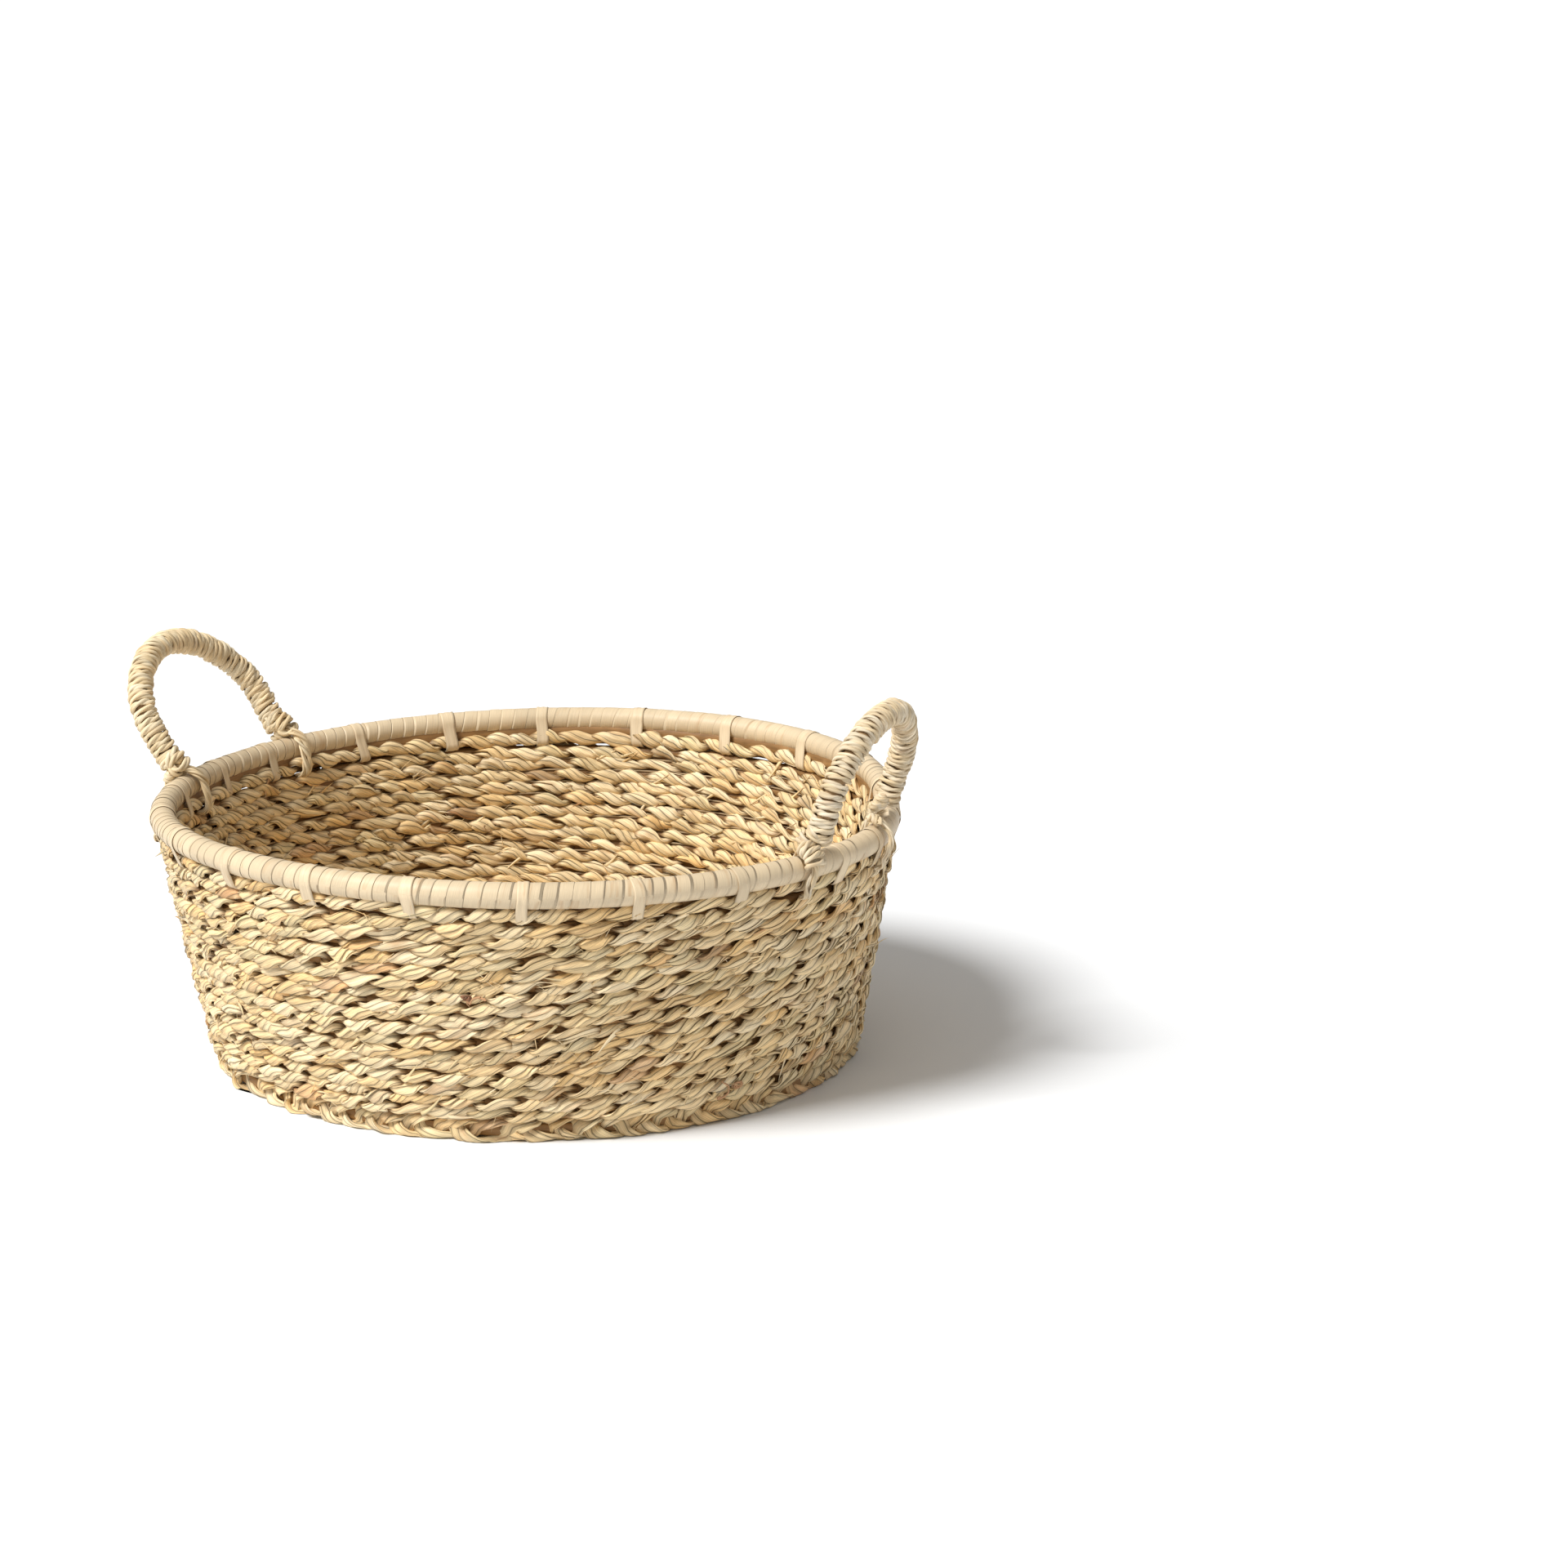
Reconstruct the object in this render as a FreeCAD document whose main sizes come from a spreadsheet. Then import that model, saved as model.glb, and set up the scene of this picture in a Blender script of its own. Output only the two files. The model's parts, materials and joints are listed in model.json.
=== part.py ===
"""Round seagrass storage basket with two wrapped loop handles, in millimetres.

Frame: the origin is the centre of the underside, +Z is up and X runs through both handles.
The wall is one long plait coiled upwards; each turn of it is a course with its own body.
"""
import FreeCAD, Part
import math
import os
import Sketcher
from FreeCAD import Placement, Vector

SIZES = {
    "rim_radius": 200.0,
    "rim_height": 136.4,
    "rim_tube_radius": 7.0,
    "rim_hoop_radius": 5.4,
    "plait_width": 12.0,
    "plait_thickness": 6.47,
    "first_course_radius": 172.3,
    "course_flare": 1.42,
    "floor_edge_radius": 171.2,
    "strip_width": 9.0,
    "strip_thickness": 0.5,
    "strip_clearance": 0.1,
    "thread_radius": 0.6,
    "thread_setback": 5.65,
    "handle_tube_radius": 7.5,
    "handle_core_radius": 5.5,
    "left_half_width": 53.6,
    "left_widest_height": 36.8,
    "left_top_height": 82.0,
    "left_shoulder_radius": 34.8,
    "left_foot_half_spacing": 51.6,
    "left_lashing_half_spacing": 52.5,
    "left_lean": 34.0,
    "right_half_width": 47.2,
    "right_widest_height": 29.0,
    "right_top_height": 75.1,
    "right_shoulder_radius": 33.8,
    "right_foot_half_spacing": 45.5,
    "right_lashing_half_spacing": 46.0,
    "right_lean": 15.0,
    "foot_splay": 4.5,
    "saddle_radius": 9.6,
    "lashing_thickness": 2.2,
    "lashing_width": 8.0,
    "tail_rim_gap": 1.0,
    "collar_thickness": 1.9,
    "collar_start": 4.0,
    "collar_length": 14.0,
}
COURSES = 18
STRIPS = 22
FIRST_STRIP_ANGLE = 3.8
# A strip that would fall on a handle's foot is tied this many degrees beside it.
STRIP_FOOT_CLEARANCE = 5.5
FIT_GAP = 0.05

doc = FreeCAD.newDocument("seagrass_basket")
sheet = doc.addObject("Spreadsheet::Sheet", "sizes")
for row, (alias, value) in enumerate(SIZES.items(), start=1):
    sheet.set(f"A{row}", alias.replace("_", " "))
    sheet.set(f"B{row}", str(value))
    sheet.setAlias(f"B{row}", alias)
doc.recompute()

LEANS = {"left": "-sizes.left_lean", "right": "sizes.right_lean"}
SIDES = {"left": -1, "right": 1}
ENDS = {"front": -1, "rear": 1}
parts = []


def size(alias):
    """The value of one driving dimension."""
    return float(sheet.get(alias))


def keep(obj, label):
    """Name a finished sub-part and put it on the list of parts to write."""
    obj.Label = label
    parts.append(obj)
    return obj


def origin_plane(body, role):
    return next(f for f in body.Origin.OriginFeatures if f.Role == role)


def new_sketch(body, name, plane_role):
    """An empty sketch on one of its own body's origin planes."""
    sketch = body.newObject("Sketcher::SketchObject", name)
    sketch.AttachmentSupport = (origin_plane(body, plane_role), [""])
    sketch.MapMode = "FlatFace"
    return sketch


def dimension(sketch, name, expression, *constraint):
    """A named constraint whose value follows a formula over the sheet."""
    index = sketch.addConstraint(Sketcher.Constraint(*constraint))
    sketch.renameConstraint(index, name)
    sketch.setExpression(f"Constraints.{name}", expression)


def circle_at(centre, radius):
    return Part.Circle(centre, Vector(0, 0, 1), radius)


def arc(centre, radius, start_deg, end_deg):
    return Part.ArcOfCircle(
        circle_at(centre, radius), math.radians(start_deg), math.radians(end_deg)
    )


def tangent_chain(sketch, links):
    """Join edge ends so that each pair shares a point and a direction."""
    for first, first_end, second, second_end in links:
        sketch.addConstraint(Sketcher.Constraint("Tangent", first, first_end, second, second_end))


# ------------------------------------------------------------ wall, floor's edge and floor


def plait_ring(label, radius, radius_formula, upright):
    """One turn of flat plait: a slot-shaped section turned about the basket's axis.

    A wall course lies flat, its edges facing in and out; the floor's edge stands upright."""
    body = doc.addObject("PartDesign::Body", label)
    sketch = new_sketch(body, f"{label}_section", "XZ_Plane")
    edge = size("plait_thickness") / 2
    half_flat = size("plait_width") / 2 - edge
    if upright:
        along, middle, turn = Vector(0, 1, 0), Vector(radius, edge + half_flat, 0), 90
    else:
        along, middle, turn = Vector(1, 0, 0), Vector(radius, edge, 0), 0
    across = Vector(-along.y, along.x, 0) * edge
    near = middle - along * half_flat
    far = middle + along * half_flat
    near_arc, lower_line, far_arc, upper_line = sketch.addGeometry([
        arc(near, edge, 90 + turn, 270 + turn),
        Part.LineSegment(near - across, far - across),
        arc(far, edge, -90 + turn, 90 + turn),
        Part.LineSegment(far + across, near + across),
    ])
    tangent_chain(sketch, [
        (near_arc, 2, lower_line, 1),
        (lower_line, 2, far_arc, 1),
        (far_arc, 2, upper_line, 1),
        (upper_line, 2, near_arc, 1),
    ])
    sketch.addConstraint(Sketcher.Constraint("Equal", near_arc, far_arc))
    direction = "Vertical" if upright else "Horizontal"
    sketch.addConstraint(Sketcher.Constraint(direction, lower_line))
    half_flat_formula = "(sizes.plait_width - sizes.plait_thickness) / 2"
    dimension(sketch, "edge_radius", "sizes.plait_thickness / 2", "Radius", near_arc, edge)
    near_formula = radius_formula if upright else f"{radius_formula} - {half_flat_formula}"
    dimension(sketch, "near_radius", near_formula, "DistanceX", -1, 1, near_arc, 3, near.x)
    dimension(sketch, "near_height", "sizes.plait_thickness / 2",
              "DistanceY", -1, 1, near_arc, 3, near.y)
    span = "DistanceY" if upright else "DistanceX"
    dimension(sketch, "flat", f"2 * {half_flat_formula}", span, near_arc, 3, far_arc, 3, 2 * half_flat)
    turned = body.newObject("PartDesign::Revolution", f"{label}_turn")
    turned.Profile = sketch
    turned.ReferenceAxis = (sketch, ["V_Axis"])
    turned.Angle = 360
    return keep(body, label)


for course in range(COURSES):
    ring = plait_ring(
        f"wall_course_{course + 1:02d}",
        size("first_course_radius") + course * size("course_flare"),
        f"sizes.first_course_radius + {course} * sizes.course_flare",
        upright=False,
    )
    bottom = f"sizes.plait_width + {course} * sizes.plait_thickness"
    if course == COURSES - 1:
        # The top course rides on the lashing strips that pass beneath it.
        bottom += " + sizes.strip_thickness + 2 * sizes.strip_clearance"
    ring.setExpression(".Placement.Base.z", bottom)

plait_ring("floor_edge_course", size("floor_edge_radius"), "sizes.floor_edge_radius", upright=True)

floor = doc.addObject("Part::Cylinder", "floor_disc")
floor.setExpression("Radius", f"sizes.floor_edge_radius - sizes.plait_thickness / 2 - {FIT_GAP}")
floor.setExpression("Height", "sizes.plait_width")
keep(floor, "floor_coil")

# A thread runs in the inner groove of every seam between two courses, its centre set back
# inwards from the seam's middle radius.
threads = doc.addObject("Part::Compound", "thread_rings")
thread_rings = []
for seam in range(1, COURSES - 1):
    thread = doc.addObject("Part::Torus", f"thread_{seam:02d}")
    thread.setExpression(
        "Radius1",
        f"sizes.first_course_radius + {seam - 0.5} * sizes.course_flare - sizes.thread_setback",
    )
    thread.setExpression("Radius2", "sizes.thread_radius")
    thread.setExpression(
        ".Placement.Base.z", f"sizes.plait_width + {seam} * sizes.plait_thickness"
    )
    thread_rings.append(thread)
threads.Links = thread_rings
keep(threads, "seam_thread")

# ------------------------------------------------------------------ rim hoop and its wrap


def rim_torus(name, tube_formula):
    torus = doc.addObject("Part::Torus", name)
    torus.setExpression("Radius1", "sizes.rim_radius")
    torus.setExpression("Radius2", tube_formula)
    torus.setExpression(".Placement.Base.z", "sizes.rim_height")
    return torus


keep(rim_torus("hoop", f"sizes.rim_hoop_radius - {FIT_GAP}"), "rim_hoop")
wrap = doc.addObject("Part::Cut", "wrap")
wrap.Base = rim_torus("wrap_outside", "sizes.rim_tube_radius")
wrap.Tool = rim_torus("wrap_inside", "sizes.rim_hoop_radius")
keep(wrap, "rim_wrap")

# --------------------------------------- strips and lashing tails that hold the top course


def belt_wire(pulleys, offset):
    """Closed wire in the XZ plane that hugs circles given counter-clockwise as (x, z, radius)."""
    tangents = []
    for (x0, z0, r0), (x1, z1, r1) in zip(pulleys, pulleys[1:] + pulleys[:1]):
        run = math.hypot(x1 - x0, z1 - z0)
        heading = math.atan2(z1 - z0, x1 - x0)
        tangents.append(heading - math.acos((r0 - r1) / run))
    edges = []
    for index, (x, z, radius) in enumerate(pulleys):
        arrive = tangents[index - 1]
        leave = tangents[index]
        middle = arrive + ((leave - arrive) % (2 * math.pi)) / 2
        reach = radius + offset
        start, mid, end = (
            Vector(x + reach * math.cos(angle), 0, z + reach * math.sin(angle))
            for angle in (arrive, middle, leave)
        )
        if edges:
            edges.append(Part.LineSegment(edges[-1].EndPoint, start))
        edges.append(Part.Arc(start, mid, end))
    edges.append(Part.LineSegment(edges[-1].EndPoint, edges[0].StartPoint))
    return Part.Wire([edge.toShape() for edge in edges])


def belt_segment(pulleys, clearance, thickness, width):
    """A band round the pulleys, as wide as given, centred on the XZ plane."""
    outside = Part.Face(belt_wire(pulleys, clearance + thickness))
    section = outside.cut(Part.Face(belt_wire(pulleys, clearance)))
    sweep = math.degrees(width / size("rim_radius"))
    section.rotate(Vector(), Vector(0, 0, 1), -sweep / 2)
    return section.revolve(Vector(), Vector(0, 0, 1), sweep)


def turned_copies(solid, angles):
    """A group of copies of one solid, turned about the basket's axis."""
    copies = []
    for angle in angles:
        copy = solid.copy()
        copy.rotate(Vector(), Vector(0, 0, 1), angle)
        copies.extend(copy.Solids)
    return Part.makeCompound(copies)


def keep_shape(shape, label):
    feature = doc.addObject("Part::Feature", label)
    feature.Shape = shape
    feature.Placement = Placement()
    return keep(feature, label)


edge_radius = size("plait_thickness") / 2
half_flat = size("plait_width") / 2 - edge_radius
top_radius = size("first_course_radius") + (COURSES - 1) * size("course_flare")
top_bottom = (
    size("plait_width")
    + (COURSES - 1) * size("plait_thickness")
    + size("strip_thickness")
    + 2 * size("strip_clearance")
)
rim_pulley = (size("rim_radius"), size("rim_height"), size("rim_tube_radius"))
inner_pulley = (top_radius - half_flat, top_bottom + edge_radius, edge_radius)
outer_pulley = (top_radius + half_flat, top_bottom + edge_radius, edge_radius)


def foot_angles(side):
    """Where a handle's rear and front feet stand round the rim, in degrees."""
    spread = math.degrees(math.asin(size(f"{side}_lashing_half_spacing") / size("rim_radius")))
    return (spread, 360 - spread) if side == "right" else (180 - spread, 180 + spread)


def strip_angle(index):
    """Strips are evenly spaced, apart from those moved aside by a handle's foot."""
    angle = FIRST_STRIP_ANGLE + 360 / STRIPS * index
    for foot in foot_angles("left") + foot_angles("right"):
        if abs(angle - foot) < STRIP_FOOT_CLEARANCE:
            return foot + math.copysign(STRIP_FOOT_CLEARANCE, angle - foot)
    return angle


strip = belt_segment(
    [inner_pulley, outer_pulley, rim_pulley],
    size("strip_clearance"),
    size("strip_thickness"),
    size("strip_width"),
)
keep_shape(turned_copies(strip, [strip_angle(k) for k in range(STRIPS)]), "rim_lashing_strips")

# Below each foot the lashing's tails go round the top course and end short of the rim.
tail_ring = belt_segment(
    [inner_pulley, outer_pulley], 0, size("lashing_thickness"), size("lashing_width")
)
tail_top = size("rim_height") - size("rim_tube_radius") - size("tail_rim_gap")
cutter_size = 2 * size("rim_radius")
above = Part.makeBox(cutter_size, cutter_size, cutter_size, Vector(0, -cutter_size / 2, tail_top))
tail = tail_ring.cut(above)
for side in SIDES:
    keep_shape(turned_copies(tail, foot_angles(side)), f"{side}_handle_lashing_tails")

# ------------------------------------------------------------------------------- handles
# A handle's own frame has its origin midway between its feet, on the rim's centre height,
# with Y through the feet and Z up the loop.


def lean_into_place(obj, side):
    """Stand a handle's sub-part on the rim and lean it outwards."""
    hinge_x = f"{SIDES[side]} * sqrt(sizes.rim_radius^2 - sizes.{side}_lashing_half_spacing^2)"
    obj.setExpression(
        "Placement",
        f"create(<<placement>>; create(<<vector>>; {hinge_x}; 0; sizes.rim_height);"
        f" create(<<rotation>>; create(<<vector>>; 0; 1; 0); {LEANS[side]}))",
    )


def loop_sketch(body, label, side):
    """Half of the loop's centre line, from the crown down to the foot: crown arc,
    shoulder arc, waist arc and a straight splayed foot."""
    sketch = new_sketch(body, f"{label}_path", "YZ_Plane")
    wide, tall = size(f"{side}_half_width"), size(f"{side}_top_height")
    waist_height, shoulder = size(f"{side}_widest_height"), size(f"{side}_shoulder_radius")
    splay = math.radians(size("foot_splay"))
    inset, rise = wide - shoulder, tall - waist_height
    crown = (inset**2 + rise**2 - shoulder**2) / (2 * (rise - shoulder))
    foot = size(f"{side}_foot_half_spacing")
    slack = wide - foot - waist_height * math.tan(splay)
    waist = slack / (1 - 1 / math.cos(splay))
    crown_centre = Vector(0, tall - crown, 0)
    shoulder_centre = Vector(inset, waist_height, 0)
    waist_centre = Vector(wide - waist, waist_height, 0)
    meet = math.degrees(math.atan2(waist_height - crown_centre.y, inset))
    foot_top = waist_centre + Vector(math.cos(splay), -math.sin(splay), 0) * waist
    crown_arc, shoulder_arc, waist_arc, foot_line = sketch.addGeometry([
        arc(crown_centre, crown, meet, 90),
        arc(shoulder_centre, shoulder, 0, meet),
        arc(waist_centre, waist, -math.degrees(splay), 0),
        Part.LineSegment(Vector(foot, 0, 0), foot_top),
    ])
    tangent_chain(sketch, [
        (crown_arc, 1, shoulder_arc, 2),
        (shoulder_arc, 1, waist_arc, 2),
        (waist_arc, 1, foot_line, 2),
    ])
    sketch.addConstraint([
        Sketcher.Constraint("PointOnObject", crown_arc, 3, -2),
        Sketcher.Constraint("PointOnObject", crown_arc, 2, -2),
        Sketcher.Constraint("PointOnObject", foot_line, 1, -1),
    ])
    for name, alias, constraint in (
        ("top", "top_height", ("DistanceY", -1, 1, crown_arc, 2, tall)),
        ("shoulder", "shoulder_radius", ("Radius", shoulder_arc, shoulder)),
        ("shoulder_height", "widest_height",
         ("DistanceY", -1, 1, shoulder_arc, 3, waist_height)),
        ("waist_height", "widest_height",
         ("DistanceY", -1, 1, waist_arc, 3, waist_height)),
        ("half_width", "half_width", ("DistanceX", -1, 1, waist_arc, 2, wide)),
        ("foot", "foot_half_spacing", ("DistanceX", -1, 1, foot_line, 1, foot)),
    ):
        dimension(sketch, name, f"sizes.{side}_{alias}", *constraint)
    dimension(sketch, "splay", "(90 - sizes.foot_splay) * 1 deg",
              "Angle", foot_line, math.pi / 2 - splay)
    return sketch


def handle_tube(side, label, aliases):
    """A round section, solid or hollow, swept along the loop; each foot is cut to a saddle
    that clears the rim."""
    body = doc.addObject("PartDesign::Body", label)
    section = new_sketch(body, f"{label}_section", "XZ_Plane")
    crown_height = size(f"{side}_top_height")
    for alias in aliases:
        circle = section.addGeometry(circle_at(Vector(0, crown_height, 0), size(alias)))
        section.addConstraint(Sketcher.Constraint("PointOnObject", circle, 3, -2))
        dimension(section, alias, f"sizes.{alias}", "Radius", circle, size(alias))
        dimension(section, f"{alias}_height", f"sizes.{side}_top_height",
                  "DistanceY", -1, 1, circle, 3, crown_height)
    half = body.newObject("PartDesign::AdditivePipe", f"{label}_half")
    half.Profile = section
    half.Spine = (loop_sketch(body, label, side), [])
    doc.recompute()
    whole = body.newObject("PartDesign::Mirrored", f"{label}_whole")
    whole.Originals = [half]
    whole.MirrorPlane = (origin_plane(body, "XZ_Plane"), [""])
    body.Tip = whole
    doc.recompute()
    saddle_sketch = new_sketch(body, f"{label}_saddle", "XZ_Plane")
    saddle = saddle_sketch.addGeometry(circle_at(Vector(), size("saddle_radius")))
    saddle_sketch.addConstraint(Sketcher.Constraint("Coincident", saddle, 3, -1, 1))
    dimension(saddle_sketch, "saddle", "sizes.saddle_radius", "Radius", saddle, size("saddle_radius"))
    feet = body.newObject("PartDesign::Pocket", f"{label}_feet")
    feet.Profile = saddle_sketch
    feet.Type = "ThroughAll"
    feet.SideType = "Symmetric"
    lean_into_place(body, side)
    return keep(body, label)


def along_foot(side, sign, distance):
    """Placement formula of a cylinder that starts at a distance up the splayed foot."""
    run = f"({distance}) * sin(sizes.foot_splay * 1 deg)"
    y = f"{sign} * (sizes.{side}_foot_half_spacing + {run})"
    z = f"({distance}) * cos(sizes.foot_splay * 1 deg)"
    return (
        f"create(<<placement>>; create(<<vector>>; 0; {y}; {z});"
        f" create(<<rotation>>; create(<<vector>>; 1; 0; 0); {-sign} * sizes.foot_splay))"
    )


def across_rim(side, sign, width):
    """Placement formula of a cylinder along Y, centred where the lashing crosses the rim."""
    return (
        f"create(<<placement>>; create(<<vector>>; 0;"
        f" {sign} * sizes.{side}_lashing_half_spacing - ({width}) / 2; 0);"
        " create(<<rotation>>; create(<<vector>>; 1; 0; 0); -90))"
    )


def cylinder(name, radius, length, placement):
    tube = doc.addObject("Part::Cylinder", name)
    tube.setExpression("Radius", radius)
    tube.setExpression("Height", length)
    tube.setExpression("Placement", placement)
    return tube


def boolean(kind, name, base, tool):
    result = doc.addObject(f"Part::{kind}", name)
    result.Base = base
    result.Tool = tool
    return result


def foot_lashing(side, end):
    """The lashing at one foot: an arch over the rim and a collar round the handle's foot."""
    label = f"{side}_handle_lashing_{end}"
    sign = ENDS[end]
    outer_radius = "sizes.saddle_radius + sizes.lashing_thickness"
    eye = cylinder(f"{label}_eye", outer_radius, "sizes.lashing_width",
                   across_rim(side, sign, "sizes.lashing_width"))
    upper_half = doc.addObject("Part::Box", f"{label}_upper_half")
    for edge in ("Length", "Width", "Height"):
        upper_half.setExpression(edge, "4 * sizes.saddle_radius")
    upper_half.setExpression(".Placement.Base.x", "-2 * sizes.saddle_radius")
    upper_half.setExpression(
        ".Placement.Base.y",
        f"{sign} * sizes.{side}_lashing_half_spacing - 2 * sizes.saddle_radius",
    )
    arch = boolean("Common", f"{label}_arch", eye, upper_half)
    collar = cylinder(f"{label}_collar", "sizes.handle_tube_radius + sizes.collar_thickness",
                      "sizes.collar_length", along_foot(side, sign, "sizes.collar_start"))
    joined = boolean("Fuse", f"{label}_joined", arch, collar)
    tube = cylinder(f"{label}_tube", f"sizes.handle_tube_radius + {FIT_GAP}",
                    "3 * sizes.collar_length", along_foot(side, sign, "-sizes.collar_length"))
    bored = boolean("Cut", f"{label}_bored", joined, tube)
    rim_room = cylinder(f"{label}_rim_room", "sizes.saddle_radius", "6 * sizes.lashing_width",
                        across_rim(side, sign, "6 * sizes.lashing_width"))
    lashing = boolean("Cut", f"{label}_saddled", bored, rim_room)
    lean_into_place(lashing, side)
    return keep(lashing, label)


for side in SIDES:
    handle_tube(side, f"{side}_handle_core", ["handle_core_radius"])
    handle_tube(side, f"{side}_handle_wrap", ["handle_tube_radius", "handle_core_radius"])
    for end in ENDS:
        foot_lashing(side, end)

# ------------------------------------------------------------------------ check and write

doc.recompute()
for obj in doc.Objects:
    if "Invalid" in obj.State or "Error" in obj.State:
        raise RuntimeError(f"{obj.Label} failed: {obj.State}")
for part in parts:
    if part.Shape.isNull() or not part.Shape.isValid() or not part.Shape.Solids:
        raise RuntimeError(f"{part.Label} has no valid solid")

os.makedirs("parts", exist_ok=True)
for part in parts:
    part.Shape.exportStep(f"parts/{part.Label}.step")
    print(f"{part.Label}: {len(part.Shape.Solids)} solid(s), {part.Shape.Volume / 1000:.1f} cm3")
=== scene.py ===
"""Looks of the seagrass storage basket: plaited wall and floor, wrapped rim, wrapped handles.

Metres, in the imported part's own frame. Every plait, strip and cord is modelled as a closed
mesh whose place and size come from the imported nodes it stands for.
"""
import json
import math

import bpy
import numpy as np
from mathutils import Matrix, Vector


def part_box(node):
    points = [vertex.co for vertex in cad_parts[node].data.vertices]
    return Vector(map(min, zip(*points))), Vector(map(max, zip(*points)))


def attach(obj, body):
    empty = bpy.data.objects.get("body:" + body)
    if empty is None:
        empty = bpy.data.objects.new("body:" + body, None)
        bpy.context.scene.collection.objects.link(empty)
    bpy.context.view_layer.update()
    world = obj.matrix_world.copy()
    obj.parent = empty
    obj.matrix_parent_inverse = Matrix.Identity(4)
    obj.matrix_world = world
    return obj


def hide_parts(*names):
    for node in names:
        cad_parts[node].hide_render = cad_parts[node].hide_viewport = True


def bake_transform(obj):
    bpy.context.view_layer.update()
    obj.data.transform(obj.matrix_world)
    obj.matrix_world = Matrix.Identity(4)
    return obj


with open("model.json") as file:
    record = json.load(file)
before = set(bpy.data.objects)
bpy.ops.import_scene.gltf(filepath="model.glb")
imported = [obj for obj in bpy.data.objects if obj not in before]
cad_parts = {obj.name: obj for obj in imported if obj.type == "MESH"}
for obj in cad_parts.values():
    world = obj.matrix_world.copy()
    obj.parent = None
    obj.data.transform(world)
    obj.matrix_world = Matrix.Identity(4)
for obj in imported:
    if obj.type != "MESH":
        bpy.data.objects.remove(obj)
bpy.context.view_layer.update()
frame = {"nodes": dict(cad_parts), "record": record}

MM = 0.001
TAU = 2 * math.pi

# ------------------------------------------------------------------ sizes read from the frame
rim_low, rim_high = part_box("rim_wrap")
RIM_TUBE = (rim_high[2] - rim_low[2]) / 2
RIM_Z = (rim_high[2] + rim_low[2]) / 2
RIM_RADIUS = rim_high[0] - RIM_TUBE
COURSES = sum(name.startswith("wall_course_") for name in frame["nodes"])
HINGE = {joint["child"]: joint for joint in frame["record"]["behaviour"]["joints"]}

# --------------------------------------------------------------- sizes of the plait and loops

PLAIT_WIDTH = 12 * MM
PLAIT_PERIOD = 50 * MM
STRAND_WIDTH = 7.4 * MM
STRAND_THICKNESS = 2.4 * MM

HANDLE_TUBE = 7.5 * MM
ENDS = {"front": -1, "rear": 1}
FOOT_SPLAY = math.radians(4.5)
# A loop is three arcs on splayed legs: half_width and widest are its widest place and the height
# of that, top its crown, shoulder the upper arc's radius, foot and lashing half the distance of
# its legs and of its ties. It leans, stands off the middle by shift and slants by skew. Its cord
# is wound at pitch, pressed flat. Below start the winding leaves the loop: at each foot it is
# pulled outwards, meets the rim land degrees up, drifts along it, and ends at end degrees as a
# bundle of two half sizes. The inner values are the tie strands on the rim's inner side.
LOOPS = {
    "left_handle": {
        "half_width": 53.6 * MM, "widest": 36.8 * MM, "top": 82.0 * MM, "shoulder": 34.8 * MM,
        "foot": 51.6 * MM, "lashing": 52.5 * MM, "lean": -math.radians(34),
        "shift": 2.9 * MM, "skew": -0.02, "pitch": 3.3 * MM, "flat": 0.80,
        "start": 20 * MM, "pull": {"front": 0.0, "rear": 0.0},
        "drift": {"front": 0.0, "rear": 0.0}, "end": {"front": 15, "rear": 15},
        "land": {"front": 77, "rear": 77},
        "bundle": {"front": (5.4 * MM, 2.2 * MM), "rear": (5.4 * MM, 2.2 * MM)},
        "inner_strands": 4, "inner_size": 3.1 * MM, "inner_spread": 2.5 * MM,
    },
    "right_handle": {
        "half_width": 47.2 * MM, "widest": 29.0 * MM, "top": 75.1 * MM, "shoulder": 33.8 * MM,
        "foot": 45.5 * MM, "lashing": 46.0 * MM, "lean": math.radians(15),
        "shift": -2.3 * MM, "skew": 0.07, "pitch": 3.05 * MM, "flat": 0.92,
        "start": 19 * MM, "pull": {"front": 0.0, "rear": -2.5 * MM},
        "drift": {"front": -8 * MM, "rear": -27 * MM}, "end": {"front": 10, "rear": 70},
        "land": {"front": 86, "rear": 110},
        "bundle": {"front": (6.0 * MM, 2.9 * MM), "rear": (3.8 * MM, 1.8 * MM)},
        "inner_strands": 2, "inner_size": 2.5 * MM, "inner_spread": 1.3 * MM,
    },
}


def course_box(index):
    """Centre radius, bottom and top of a wall course, counted from 1."""
    low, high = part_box(f"wall_course_{index:02d}")
    return high[0] - PLAIT_WIDTH / 2, low[2], high[2]


# ------------------------------------------------------------------------------- noise tools


def smooth(t):
    t = np.clip(t, 0, 1)
    return t * t * (3 - 2 * t)


def ring_noise(rng, cells, turn):
    """Smooth noise in -1..1 that repeats as turn goes from 0 to 1."""
    values = rng.uniform(-1, 1, cells)
    x = turn * cells
    cell = np.floor(x).astype(int)
    t = smooth(x - cell)
    return values[cell % cells] * (1 - t) + values[(cell + 1) % cells] * t


def lobe_values(values, x, edge=0.16):
    """Values held along each half wave x, changing over where the strand is hidden."""
    g = x - 0.5
    k = np.floor(g).astype(int)
    w = smooth((g - k - 0.5 + edge) / (2 * edge))
    count = len(values)
    shape = (-1,) + (1,) * (values.ndim - 1)
    w = w.reshape(shape)
    return values[k % count] * (1 - w) + values[(k + 1) % count] * w


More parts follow.
